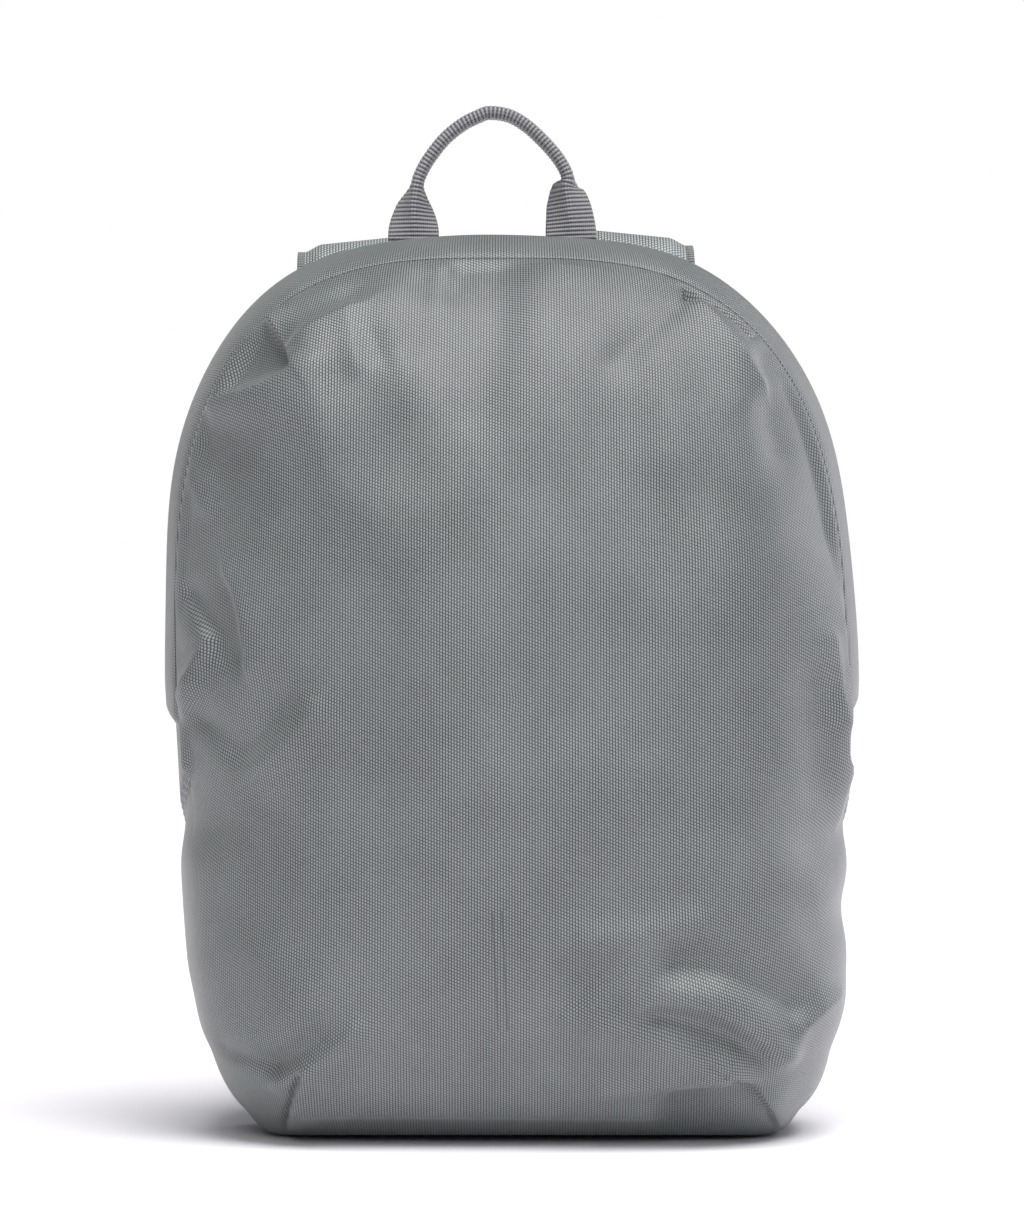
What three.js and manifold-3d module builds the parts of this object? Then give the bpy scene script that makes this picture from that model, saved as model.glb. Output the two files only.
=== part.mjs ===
// A soft-shell anti-theft backpack, standing upright and zipped shut. Millimetres, +Z up.
// The origin is on the floor under the middle of the base. -Y is the front of the bag, +Y is
// the wearer's side and +X is the right-hand side of the bag as seen from its front.
// The front shell is one cloth tray: front, sides and base in one piece, open at the back.
// Its surface is named by two angles: "around" goes round the outline, 0 at the right-hand side
// and 90 at the crown, and "turn" goes from the back rim, over the sides, to 90 at the belly.

import * as THREE from "three";
import { mergeVertices } from "three/addons/utils/BufferGeometryUtils.js";
import Module from "manifold-3d";

const wasm = await Module();
wasm.setup();

// Driving dimensions of the bag's body
const BODY_WIDTH = 296; // across the shell at its widest
const BODY_HEIGHT = 389; // floor to the crown of the shell
const WAIST_HEIGHT = 197; // where the arched top starts
const BELLY_HEIGHT = 190; // height of the fullest point of the front
const FRONT_REACH = 110; // from the widest section forward to the belly
const WIDEST_Y = 40; // where the section is widest, front to back
const RIM_Y = 55; // plane of the open back rim
const WALL = 2.4; // shell fabric with its lining
const GAP = 0.3; // between pieces that touch
const ARCH_POWER = 2.95; // squareness of the arched top
const FOOT_POWER = 7; // squareness of the lower corners
const FOOT_TAPER = 0.043; // share by which the sides draw in towards the floor
const FOOT_SINK = 5; // how far the base is pressed flat against the floor
const LEAN = 0.0255; // sideways slump, millimetres for each millimetre of height
const RIM_TUCK = 0.012; // share by which the back rim is drawn in
const SHOULDER_POWER = { top: 2.4, side: 2.75, bottom: 3.4 }; // roundness of the front's edges
const FOLD_DEPTH = 10; // the unit of the fold table's lift

// Pieces carried by the body
const HOOD_THICK = 3; // padded band over the arch
const HOOD_TURN = 25; // its front edge, as a turn angle
const HOOD_ENDS = { right: -1, left: 182 }; // where it stops, as around angles
const HOOD_SLANT = 4; // how much further its front edge reaches at each end, in degrees
const ZIP_WIDTH = 9;
const ZIP_THICK = 2.6;
const PANEL_THICK = 12; // padded back panel, behind the rim plane
const PANEL_PLUG = 2; // how far it reaches into the shell
const STRAP_WIDTH = 60;
const STRAP_THICK = 9;
const STRAP_EDGE = 3.2; // thickness of the bound edges of a strap
const STRAP_SPREAD = 58.5; // centre of the bag to the centre of a strap, at its top
const STRAP_TOP = 391.5; // height of the centreline where the strap bends over
const STRAP_TILT = 0.1; // how far the bend falls towards its outer edge, as a slope
const STRAP_END_HEIGHT = 158; // where the padding ends
const ARM_GAP = 27; // back panel to the hanging strap
const WEBBING_WIDTH = 20;
const WEBBING_THICK = 1.5;
const LOCK_WIDTH = 28;
const LOCK_THICK = 3.6;
const LOCK_BAR = 5.4; // height of each of its three bars
const LOCK_SLOT = 4.6;
const ANCHOR_WIDTH = 30;
const ANCHOR_HEIGHT = 34;
const ANCHOR_THICK = 3;
const ANCHOR_INSET = 40; // side of the bag to the middle of an anchor tab
const ANCHOR_LOW = 26; // floor to an anchor tab
const HANDLE_WEBBING = 22.4; // width of the flat handle webbing
const HANDLE_THICK = 2.4;
const HANDLE_SPAN = 69.5; // between the middles of the two legs
const HANDLE_RISE = 57.6; // crown to the top of the grip
const HANDLE_Y = 43;
const HANDLE_FOOT_SINK = 5; // stretch of each leg that is trimmed off on the hood
const FOLD_RADIUS = 1.45; // radius of the fold along the grip
const TOP_SHIFT = -2.5; // handle and straps sit this much left of the lean line

const RAD = Math.PI / 180;
const BACK_TURN = 10; // the turn angle that stands for the stretch behind the widest section
const halfWidth = BODY_WIDTH / 2;
const archRise = BODY_HEIGHT - WAIST_HEIGHT;
const panelFace = RIM_Y + PANEL_THICK;
const anchorSpread = halfWidth - ANCHOR_INSET;

// Folds of the front shell, seen from the front. across is a share of the half width and up a
// share of the height; lift is a share of FOLD_DEPTH, out or in; above and below are how far
// the fold spreads on each side of its line, as shares of the width.
const FOLDS = [
  // top left tuck, its flap and the ridge that runs down from it
  { from: [-0.81, 0.86], to: [-0.69, 0.885], lift: -0.6, above: 0.034, below: 0.022 },
  { from: [-0.62, 0.85], to: [-0.36, 0.77], lift: 0.4, above: 0.04, below: 0.06 },
  { from: [-0.49, 0.905], to: [-0.34, 0.85], lift: -0.4, above: 0.026, below: 0.024 },
  // short creases under the crown
  { from: [-0.11, 0.96], to: [-0.17, 0.925], lift: -0.45, above: 0.018, below: 0.022 },
  { from: [-0.12, 0.92], to: [-0.06, 0.865], lift: -0.35, above: 0.035, below: 0.03 },
  { from: [-0.22, 0.925], to: [-0.29, 0.87], lift: -0.25, above: 0.03, below: 0.03 },
  // top right tuck: a trough to the left of it and a raised facet to the right
  { from: [0.5, 0.928], to: [0.31, 0.86], lift: -0.5, above: 0.022, below: 0.03 },
  { from: [0.53, 0.908], to: [0.68, 0.845], lift: 0.4, above: 0.03, below: 0.05 },
  { from: [0.69, 0.84], to: [0.73, 0.76], lift: -0.25, above: 0.03, below: 0.04 },
  // left side: slack cloth between the arch and the base
  { from: [-0.84, 0.78], to: [-0.86, 0.63], lift: -0.4, above: 0.04, below: 0.04 },
  { from: [-0.92, 0.6], to: [-0.77, 0.525], lift: 0.35, above: 0.02, below: 0.025 },
  { from: [-0.86, 0.545], to: [-0.8, 0.5], lift: -0.5, above: 0.03, below: 0.03 },
  { from: [-0.8, 0.43], to: [-0.59, 0.495], lift: -0.4, above: 0.022, below: 0.026 },
  { from: [-0.96, 0.46], to: [-0.86, 0.36], lift: -0.3, above: 0.04, below: 0.04 },
  // right side: a bulge below the hood, then shallow waves down the edge
  { from: [0.97, 0.56], to: [0.97, 0.43], lift: 0.45, above: 0.05, below: 0.05 },
  { from: [0.97, 0.35], to: [0.93, 0.33], lift: -0.35, above: 0.04, below: 0.03 },
  { from: [0.97, 0.24], to: [0.93, 0.23], lift: -0.3, above: 0.03, below: 0.03 },
  { from: [0.86, 0.83], to: [0.92, 0.66], lift: -0.35, above: 0.04, below: 0.04 },
  // bottom right: two diagonal ridges with troughs between them
  { from: [0.38, 0.19], to: [0.79, 0.115], lift: 0.4, above: 0.02, below: 0.024 },
  { from: [0.5, 0.215], to: [0.8, 0.155], lift: -0.35, above: 0.03, below: 0.025 },
  { from: [0.31, 0.14], to: [0.63, 0.095], lift: 0.3, above: 0.016, below: 0.03 },
  { from: [0.25, 0.226], to: [0.53, 0.234], lift: 0.2, above: 0.02, below: 0.02 },
  { from: [0.64, 0.075], to: [0.77, 0.02], lift: -0.4, above: 0.012, below: 0.026 },
  // bottom left
  { from: [-0.68, 0.09], to: [-0.55, 0.112], lift: -0.3, above: 0.016, below: 0.02 },
  { from: [-0.62, 0.05], to: [-0.65, 0.015], lift: -0.35, above: 0.014, below: 0.014 },
];

function smooth(share) {
  const s = Math.min(1, Math.max(0, share));
  return s * s * (3 - 2 * s);
}

// Outline of the shell at its widest section, seen from the front.
function outline(around) {
  const across = Math.cos(around * RAD);
  const up = Math.sin(around * RAD);
  const power = up > 0 ? ARCH_POWER : FOOT_POWER;
  const rise = up > 0 ? archRise : WAIST_HEIGHT + FOOT_SINK;
  const reach = (Math.abs(across) ** power + Math.abs(up) ** power) ** (-1 / power);
  const z = WAIST_HEIGHT + rise * reach * up;
  const low = Math.max(0, (WAIST_HEIGHT - z) / WAIST_HEIGHT);
  return { x: halfWidth * reach * across * (1 - FOOT_TAPER * low) + leanAt(z), z };
}

function leanAt(z) {
  return -LEAN * (z - WAIST_HEIGHT);
}

// How round the shell's edge is in a direction: full at the top, firm at the base.
function shoulderPower(around) {
  const up = Math.sin(around * RAD);
  const end = up > 0 ? SHOULDER_POWER.top : SHOULDER_POWER.bottom;
  return SHOULDER_POWER.side + (end - SHOULDER_POWER.side) * up * up;
}

// The smooth shell, before its folds.
function smoothShell(around, turn) {
  let share;
  let y;
  if (turn < 0) {
    const back = -turn / BACK_TURN;
    share = 1 - RIM_TUCK * back * back;
    y = WIDEST_Y + (RIM_Y - WIDEST_Y) * back;
  } else {
    const power = shoulderPower(around);
    const side = Math.cos(turn * RAD);
    const ahead = Math.sin(turn * RAD);
    const reach = (side ** power + ahead ** power) ** (-1 / power);
    share = side * reach;
    y = WIDEST_Y - FRONT_REACH * ahead * reach;
  }
  const edge = outline(around);
  const middle = leanAt(BELLY_HEIGHT);
  const x = middle + (edge.x - middle) * share;
  const z = Math.max(0, BELLY_HEIGHT + (edge.z - BELLY_HEIGHT) * share);
  return new THREE.Vector3(x, y, z);
}

function smoothNormal(around, turn) {
  const step = 0.5;
  const ahead = Math.min(turn + step, 89.9);
  const behind = Math.max(turn - step, -BACK_TURN);
  const along = smoothShell(around + step, turn).sub(smoothShell(around - step, turn));
  const forward = smoothShell(around, ahead).sub(smoothShell(around, behind));
  return along.cross(forward).normalize();
}

// How far one fold lifts the cloth at a place seen from the front.
function foldLift(fold, x, z) {
  const start = { x: fold.from[0] * halfWidth, z: fold.from[1] * BODY_HEIGHT };
  const end = { x: fold.to[0] * halfWidth, z: fold.to[1] * BODY_HEIGHT };
  const run = { x: end.x - start.x, z: end.z - start.z };
  const length = Math.hypot(run.x, run.z);
  const along = ((x - start.x) * run.x + (z - start.z) * run.z) / length;
  const way = run.x < 0 ? -1 : 1;
  const side = (way * ((z - start.z) * run.x - (x - start.x) * run.z)) / length;
  const spread = (side > 0 ? fold.above : fold.below) * BODY_WIDTH;
  const past = Math.max(0, -along, along - length) / spread;
  return fold.lift * FOLD_DEPTH * Math.exp(-((side / spread) ** 2) - past * past);
}

// 1 where the hood lies over the shell, falling to 0 a little past its ends.
function underHood(around) {
  const bearing = ((around % 360) + 360) % 360;
  const fromRight = bearing > 270 ? bearing - 360 : bearing;
  const past = Math.max(HOOD_ENDS.right - fromRight, fromRight - HOOD_ENDS.left) - HOOD_SLANT;
  return 1 - smooth(past / BACK_TURN - 0.4);
}

// The folded shell, moved out along its normal by offset.
function shellPoint(around, turn, offset = 0) {
  const base = smoothShell(around, turn);
  const normal = smoothNormal(around, turn);
  const lift = FOLDS.reduce((sum, fold) => sum + foldLift(fold, base.x, base.z), 0);
  const start = -BACK_TURN + (HOOD_TURN + BACK_TURN) * underHood(around);
  const free = smooth((turn - start) / BACK_TURN);
  const grounded = smooth(base.z / (2 * FOLD_DEPTH)); // nothing lifts where the base rests
  const folded = base.addScaledVector(normal, lift * free * grounded + offset);
  folded.z = Math.max(folded.z, offset < 0 ? -offset : 0);
  return folded;
}

// A closed solid between two matching grids of points. closed joins the last row to the first;
// tips are the outer and inner points where every row ends.
function slab(outer, inner, { closed = false, tips = null } = {}) {
  const rows = outer.length;
  const columns = outer[0].length;
  const points = [...outer.flat(), ...inner.flat()];
  const faces = [];
  const out = (i, j) => (i % rows) * columns + j;
  const back = (i, j) => rows * columns + out(i, j);
  const quad = (a, b, c, d) => faces.push(a, b, c, a, c, d);
  const spans = closed ? rows : rows - 1;
  for (let i = 0; i < spans; i++) {
    for (let j = 0; j < columns - 1; j++) {
      quad(out(i, j), out(i + 1, j), out(i + 1, j + 1), out(i, j + 1));
      quad(back(i, j), back(i, j + 1), back(i + 1, j + 1), back(i + 1, j));
    }
    quad(out(i, 0), back(i, 0), back(i + 1, 0), out(i + 1, 0));
    if (!tips) {
      const last = columns - 1;
      quad(out(i, last), out(i + 1, last), back(i + 1, last), back(i, last));
    }
  }
  if (!closed) {
    for (let j = 0; j < columns - 1; j++) {
      quad(out(0, j), out(0, j + 1), back(0, j + 1), back(0, j));
      quad(out(rows - 1, j), back(rows - 1, j), back(rows - 1, j + 1), out(rows - 1, j + 1));
    }
  }
  if (tips) {
    const tip = points.push(tips.outer, tips.inner) - 2;
    for (let i = 0; i < rows; i++) {
      faces.push(out(i, columns - 1), out(i + 1, columns - 1), tip);
      faces.push(back(i + 1, columns - 1), back(i, columns - 1), tip + 1);
    }
  }
  return facingOut(points, faces);
}

// A geometry from points and faces, turned so that its faces point outwards.
function facingOut(points, faces) {
  const geometry = new THREE.BufferGeometry().setFromPoints(points);
  let volume = 0;
  for (let i = 0; i < faces.length; i += 3) {
    const [a, b, c] = faces.slice(i, i + 3).map((k) => points[k]);
    volume += a.dot(b.clone().cross(c));
  }
  if (volume < 0) faces.reverse();
  return geometry.setIndex(faces);
}

// Values from first to last in equal steps, both ends included.
function steps(first, last, count) {
  return Array.from({ length: count + 1 }, (_, i) => first + ((last - first) * i) / count);
}

function solidOf(geometry) {
  const bare = geometry.clone();
  bare.deleteAttribute("normal");
  bare.deleteAttribute("uv");
  const merged = mergeVertices(bare, 1e-4);
  const vertProperties = new Float32Array(merged.attributes.position.array);
  const triVerts = new Uint32Array(merged.index.array);
  return new wasm.Manifold(new wasm.Mesh({ numProp: 3, vertProperties, triVerts }));
}

function geometryOf(solid) {
  const mesh = solid.getMesh();
  const geometry = new THREE.BufferGeometry();
  geometry.setAttribute("position", new THREE.BufferAttribute(mesh.vertProperties, 3));
  return geometry.setIndex(new THREE.BufferAttribute(mesh.triVerts, 1));
}

// The cloth tray: front, sides and base, open at the back. proud is how far it is grown outwards,
// for cutting a piece that lies on it, and a grown shell also reaches further back.
function frontShell(proud = 0) {
  const arounds = steps(0, 360, 80).slice(0, -1);
  const behind = proud > 0 ? [-1.5 * BACK_TURN] : [];
  const turns = [...behind, -BACK_TURN, ...steps(0, 84, 13)];
  const grid = (offset) => arounds.map((around) => turns.map((t) => shellPoint(around, t, offset)));
  const tips = { outer: shellPoint(0, 90, proud), inner: shellPoint(0, 90, -WALL) };
  return slab(grid(proud), grid(-WALL), { closed: true, tips });
}

// Grid of a band that lies on the smooth shell over the arch, at a height above it.
function hoodGrid(height, overlap) {
  const turns = [-BACK_TURN, ...steps(0, HOOD_TURN, 3)];
  const point = (share, turn) => {
    const front = Math.max(0, turn / HOOD_TURN);
    const first = HOOD_ENDS.right - HOOD_SLANT * front - overlap;
    const last = HOOD_ENDS.left + HOOD_SLANT * front + overlap;
    const around = first + (last - first) * share;
    return smoothShell(around, turn).addScaledVector(smoothNormal(around, turn), height);
  };
  return steps(0, 1, 42).map((share) => turns.map((turn) => point(share, turn)));
}

function hood() {
  const cover = solidOf(slab(hoodGrid(GAP + HOOD_THICK, 0), hoodGrid(0, 0)));
  return geometryOf(cover.subtract(solidOf(frontShell(GAP))));
}

// The back rim's outline, moved inwards by inset along the plane of the rim.
function rimPoint(around, inset, y) {
  const step = 0.5;
  const here = smoothShell(around, -BACK_TURN);
  const run = smoothShell(around + step, -BACK_TURN).sub(smoothShell(around - step, -BACK_TURN));
  const inwards = new THREE.Vector3(-run.z, 0, run.x).normalize();
  return here.addScaledVector(inwards, inset).setY(y);
}

// Around angles at which the rim's pieces have points, the same ones for every piece.
function rimArounds(first, last) {
  const between = steps(-360, 720, 216).filter((around) => around > first + 1 && around < last - 1);
  return [first, ...between, last];
}

// A flat strip on the rim between two around angles: the closed zip, or the hinge seam below it.
function rimStrip(first, last) {
  const grid = (y, insets) =>
    rimArounds(first, last).map((around) => insets.map((inset) => rimPoint(around, inset, y)));
  const near = RIM_Y + GAP;
  const edges = [ZIP_WIDTH * 0.07, ZIP_WIDTH];
  return slab(grid(near, edges), grid(near + ZIP_THICK, edges));
}

// The padded back panel, with a flat face and edges that roll off.
function backPanel() {
  const arounds = rimArounds(0, 360).slice(0, -1);
  const inset = ZIP_WIDTH + GAP;
  const roll = [
    { inset: inset, y: RIM_Y - PANEL_PLUG },
    { inset: inset, y: RIM_Y + PANEL_THICK * 0.4 },
    { inset: inset + 2.5, y: RIM_Y + PANEL_THICK * 0.8 },
    { inset: inset + 9, y: panelFace },
  ];
  const outer = arounds.map((around) => roll.map((r) => rimPoint(around, r.inset, r.y)));
  const inner = arounds.map((around) => {
    const edge = rimPoint(around, inset, RIM_Y - PANEL_PLUG);
    const middle = new THREE.Vector3(leanAt(BELLY_HEIGHT), edge.y, BELLY_HEIGHT);
    return roll.map((_, i) => edge.clone().lerp(middle, 0.04 * (i + 1)));
  });
  const middle = new THREE.Vector3(leanAt(BELLY_HEIGHT), panelFace, BELLY_HEIGHT);
  const tips = { outer: middle, inner: middle.clone().setY(RIM_Y - PANEL_PLUG) };
  return slab(outer, inner, { closed: true, tips });
}

// A band swept along a route. Each station gives a place, a width, a thickness and, where it
// isn't +X, the direction of its width; across lists the shares of the half width at which the
// band has points, and edge is its edge thickness.
function band(stations, across, edge = null) {
  const outer = [];
  const inner = [];
  stations.forEach((station, i) => {
    const before = stations[Math.max(0, i - 1)].at;
    const after = stations[Math.min(stations.length - 1, i + 1)].at;
    const ahead = after.clone().sub(before).normalize();
    const side = (station.side ?? new THREE.Vector3(1, 0, 0)).clone();
    side.addScaledVector(ahead, -side.dot(ahead)).normalize();
    const face = ahead.clone().cross(side);
    const place = (share, way) => {
      const thin = edge === null ? 0 : Math.abs(share) ** 4;
      const thick = station.thick + (Math.min(edge ?? 0, station.thick) - station.thick) * thin;
      return station.at
        .clone()
        .addScaledVector(side, (share * station.width) / 2)
        .addScaledVector(face, (way * thick) / 2);
    };
    outer.push(across.map((share) => place(share, 1)));
    inner.push(across.map((share) => place(share, -1)));
  });
  return slab(outer, inner);
}

// The route of a shoulder strap, from its seam on the back panel, up and over, and down.
function strapRoute(side) {
  const seamY = panelFace + GAP + STRAP_EDGE / 2;
  const hangY = panelFace + ARM_GAP + STRAP_THICK / 2;
  const bend = (hangY - seamY) / 2;
  const rows = [
    { y: seamY, z: STRAP_TOP - 46, thick: STRAP_EDGE },
    { y: seamY + 1.5, z: STRAP_TOP - 32, thick: STRAP_THICK * 0.6 },
    { y: seamY + 3, z: STRAP_TOP - 20, thick: STRAP_THICK * 0.8 },
    ...steps(160, 20, 5).map((turn) => ({
      y: seamY + 1.4 + bend * (1 + 0.86 * Math.cos(turn * RAD)),
      z: STRAP_TOP - 14 + 14 * Math.sin(turn * RAD),
      thick: STRAP_THICK,
    })),
    { y: hangY, z: STRAP_TOP - 34, thick: STRAP_THICK },
    { y: hangY + 2, z: STRAP_TOP - 80, thick: STRAP_THICK },
    { y: hangY + 2, z: STRAP_TOP - 135, thick: STRAP_THICK },
    { y: hangY, z: STRAP_END_HEIGHT + 42, thick: STRAP_THICK },
    { y: hangY - 3, z: STRAP_END_HEIGHT + 14, thick: STRAP_THICK },
    { y: hangY - 4.8, z: STRAP_END_HEIGHT, thick: STRAP_EDGE },
  ];
  return rows.map((row) => {
    const down = (STRAP_TOP - row.z) / (STRAP_TOP - STRAP_END_HEIGHT);
    const spread = STRAP_SPREAD + 10 * down * down;
    const narrow = 1 - 0.38 * smooth((down - 0.45) / 0.5);
    const tilt = row.z > STRAP_TOP - STRAP_WIDTH / 4 ? STRAP_TILT : 0;
    return {
      at: new THREE.Vector3(leanAt(row.z) + TOP_SHIFT + side * spread, row.y, row.z + LEAN * side * spread),
      side: new THREE.Vector3(1, 0, -side * tilt),
      width: STRAP_WIDTH * narrow,
      thick: row.thick,
    };
  });
}

// The frame at the end of a strap: a place in it is given as down, along the strap, and out,
// away from the back panel.
function strapEnd(side) {
  const route = strapRoute(side);
  const end = route[route.length - 1].at;
  const foot = anchorFace(side);
  const down = foot.clone().sub(end).normalize();
  const across = new THREE.Vector3(1, 0, 0).addScaledVector(down, -down.x).normalize();
  const out = down.clone().cross(across).normalize();
  const place = (d, o) => end.clone().addScaledVector(down, d).addScaledVector(out, o);
  return { place, down, across, out };
}

// Where a webbing is sewn onto its anchor tab.
function anchorFace(side) {
  const z = ANCHOR_LOW + ANCHOR_HEIGHT * 0.75;
  const y = panelFace + GAP + ANCHOR_THICK + 3 * GAP + WEBBING_THICK / 2;
  return new THREE.Vector3(leanAt(z) + side * anchorSpread, y, z);
}

// The buckle's centre along the strap, measured from the strap's end.
const loopRadius = LOCK_THICK / 2 + 2 * GAP + WEBBING_THICK / 2;
const lockHeight = 3 * LOCK_BAR + 2 * LOCK_SLOT;
const lockMiddle = lockHeight / 2 + loopRadius + 2;

// Places on a squarish half turn round a bar of the buckle, as down and out values.
function halfTurn(middle, first, last) {
  const reach = LOCK_BAR / 2 + 2.5 * GAP + WEBBING_THICK / 2;
  const square = (value) => Math.sign(value) * Math.abs(value) ** 0.667;
  return steps(first, last, 8).map((turn) => ({
    down: middle + reach * square(Math.sin(turn * RAD)),
    out: -loopRadius * square(Math.cos(turn * RAD)),
  }));
}

const FLAT_ACROSS = [-1, 0, 1];

// The shoulder strap: a padded band with a sewn webbing loop that holds the buckle's top bar.
function shoulderStrap(side) {
  const pad = band(strapRoute(side), [-1, -0.9, -0.6, 0, 0.6, 0.9, 1], STRAP_EDGE);
  const end = strapEnd(side);
  const topBar = lockMiddle - LOCK_BAR - LOCK_SLOT;
  const run = [{ down: -6, out: -loopRadius * 0.5 }, ...halfTurn(topBar, 0, 180)];
  const loop = [...run, { down: -6, out: loopRadius * 0.5 }];
  const width = WEBBING_WIDTH - 1;
  const stations = loop.map(({ down, out }) => ({
    at: end.place(down, out),
    side: end.across,
    width,
    thick: WEBBING_THICK,
  }));
  return geometryOf(solidOf(pad).add(solidOf(band(stations, FLAT_ACROSS))));
}

// The adjusting webbing: up from its anchor, round the buckle's lower bar, and a hanging tail.
function strapWebbing(side) {
  const end = strapEnd(side);
  const lowBar = lockMiddle + LOCK_BAR + LOCK_SLOT;
  const face = anchorFace(side);
  const sewn = [-ANCHOR_HEIGHT * 0.5, -2].map((rise) => ({
    at: face.clone().add(new THREE.Vector3(0, 0, rise)),
  }));
  const threaded = [
    { down: lowBar + 30, out: -loopRadius },
    ...halfTurn(lowBar, 0, -180),
    { down: lowBar + 16, out: loopRadius + 1 },
    { down: lowBar + 50, out: loopRadius + 2.5 },
  ].map(({ down, out }) => ({ at: end.place(down, out), side: end.across }));
  const size = { width: WEBBING_WIDTH, thick: WEBBING_THICK };
  return band([...sewn, ...threaded].map((station) => ({ ...station, ...size })), FLAT_ACROSS);
}

// A plain three-bar buckle, as a plate with two slots.
function ladderLock() {
  const corner = 3;
  const w = LOCK_WIDTH / 2;
  const h = lockHeight / 2;
  const plate = new THREE.Shape();
  plate.moveTo(-w + corner, -h);
  plate.lineTo(w - corner, -h);
  plate.absarc(w - corner, -h + corner, corner, -Math.PI / 2, 0, false);
  plate.lineTo(w, h - corner);
  plate.absarc(w - corner, h - corner, corner, 0, Math.PI / 2, false);
  plate.lineTo(-w + corner, h);
  plate.absarc(-w + corner, h - corner, corner, Math.PI / 2, Math.PI, false);
  plate.lineTo(-w, -h + corner);
  plate.absarc(-w + corner, -h + corner, corner, Math.PI, 1.5 * Math.PI, false);
  const slotHalf = (WEBBING_WIDTH + 2) / 2;
  for (const way of [-1, 1]) {
    const middle = (way * (LOCK_BAR + LOCK_SLOT)) / 2;
    const slot = new THREE.Path();
    slot.moveTo(-slotHalf, middle - LOCK_SLOT / 2);
    slot.lineTo(-slotHalf, middle + LOCK_SLOT / 2);
    slot.lineTo(slotHalf, middle + LOCK_SLOT / 2);
    slot.lineTo(slotHalf, middle - LOCK_SLOT / 2);
    plate.holes.push(slot);
  }
  const settings = { depth: LOCK_THICK, bevelEnabled: false, curveSegments: 4 };
  return new THREE.ExtrudeGeometry(plate, settings).translate(0, 0, -LOCK_THICK / 2);
}

// The sewn tab that holds the foot of a webbing.
function anchorTab() {
  const w = ANCHOR_WIDTH / 2;
  const tab = new THREE.Shape();
  tab.moveTo(-w, 0);
  tab.lineTo(w, 0);
  tab.lineTo(w * 0.8, ANCHOR_HEIGHT);
  tab.lineTo(-w * 0.8, ANCHOR_HEIGHT);
  tab.closePath();
  const settings = { depth: ANCHOR_THICK, bevelEnabled: false };
  return new THREE.ExtrudeGeometry(tab, settings).rotateX(Math.PI / 2);
}

// The grab handle's route, seen from the front: across is a share of the span and up a share
// of the rise; open is how far the webbing is unfolded, 1 flat at the feet and 0 in the grip.
const HANDLE_ROUTE = [
  { across: -0.517, up: 0, open: 1 },
  { across: -0.517, up: 0.11, open: 0.77 },
  { across: -0.514, up: 0.235, open: 0.48 },
  { across: -0.505, up: 0.335, open: 0.19 },
  { across: -0.495, up: 0.41, open: 0.02 },
  { across: -0.478, up: 0.48, open: 0 },
  { across: -0.428, up: 0.594, open: 0 },
  { across: -0.327, up: 0.753, open: 0 },
  { across: -0.213, up: 0.868, open: 0 },
  { across: -0.106, up: 0.935, open: 0 },
  { across: -0.034, up: 0.962, open: 0 },
  { across: 0.087, up: 0.94, open: 0 },
  { across: 0.194, up: 0.868, open: 0 },
  { across: 0.298, up: 0.755, open: 0 },
  { across: 0.388, up: 0.634, open: 0 },
  { across: 0.444, up: 0.526, open: 0 },
  { across: 0.462, up: 0.455, open: 0.04 },
  { across: 0.455, up: 0.382, open: 0.36 },
  { across: 0.465, up: 0.27, open: 0.62 },
  { across: 0.477, up: 0.13, open: 0.8 },
  { across: 0.483, up: 0, open: 1 },
];

// Flat webbing folded lengthwise: its middle stays in front and its two halves turn back.
function grabHandle() {
  const crown = BODY_HEIGHT + HOOD_THICK + GAP;
  const middle = leanAt(crown) + TOP_SHIFT;
  const rows = HANDLE_ROUTE.map(({ across, up, open }) => ({
    at: new THREE.Vector3(middle + across * HANDLE_SPAN, HANDLE_Y, crown + up * HANDLE_RISE),
    open,
  }));
  const feet = [rows[0], rows[rows.length - 1]].map(({ at, open }) => ({
    at: at.clone().setZ(crown - HANDLE_FOOT_SINK),
    open,
  }));
  const route = [feet[0], ...rows, feet[1]];
  const places = steps(-1, 1, 12).map((share) => (share * HANDLE_WEBBING) / 2);
  const outer = [];
  const inner = [];
  route.forEach((row, i) => {
    const before = route[Math.max(0, i - 1)].at;
    const after = route[Math.min(route.length - 1, i + 1)].at;
    const ahead = after.clone().sub(before).normalize();
    const back = new THREE.Vector3(0, 1, 0);
    const side = back.clone().cross(ahead).normalize();
    const bend = (Math.PI / 2) * (1 - row.open);
    const place = (u, way) => {
      const folded = foldedWebbing(u, bend);
      return row.at
        .clone()
        .addScaledVector(side, folded.side + (way * HANDLE_THICK * folded.normalSide) / 2)
        .addScaledVector(back, folded.back + (way * HANDLE_THICK * folded.normalBack) / 2);
    };
    outer.push(places.map((u) => place(u, 1)));
    inner.push(places.map((u) => place(u, -1)));
  });
  const loop = solidOf(slab(outer, inner));
  const seat = solidOf(slab(hoodGrid(GAP * 2 + HOOD_THICK, 0), hoodGrid(-2 * HANDLE_FOOT_SINK, 0)));
  return geometryOf(loop.subtract(seat));
}

// Section of the folded webbing at a distance u from its middle, bent back by bend each side.
function foldedWebbing(u, bend) {
  const curve = FOLD_RADIUS * bend;
  const size = Math.abs(u);
  const turned = curve > 1e-6 ? Math.min(size / curve, 1) * bend : bend;
  const onCurve = Math.min(size, curve);
  const straight = size - onCurve;
  const side = (bend > 1e-6 ? FOLD_RADIUS * Math.sin(turned) : 0) + straight * Math.cos(bend);
  const back = (bend > 1e-6 ? FOLD_RADIUS * (1 - Math.cos(turned)) : 0) + straight * Math.sin(bend);
  const way = Math.sign(u);
  return {
    side: way * side,
    back,
    normalSide: -way * Math.sin(turned),
    normalBack: Math.cos(turned),
  };
}

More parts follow.
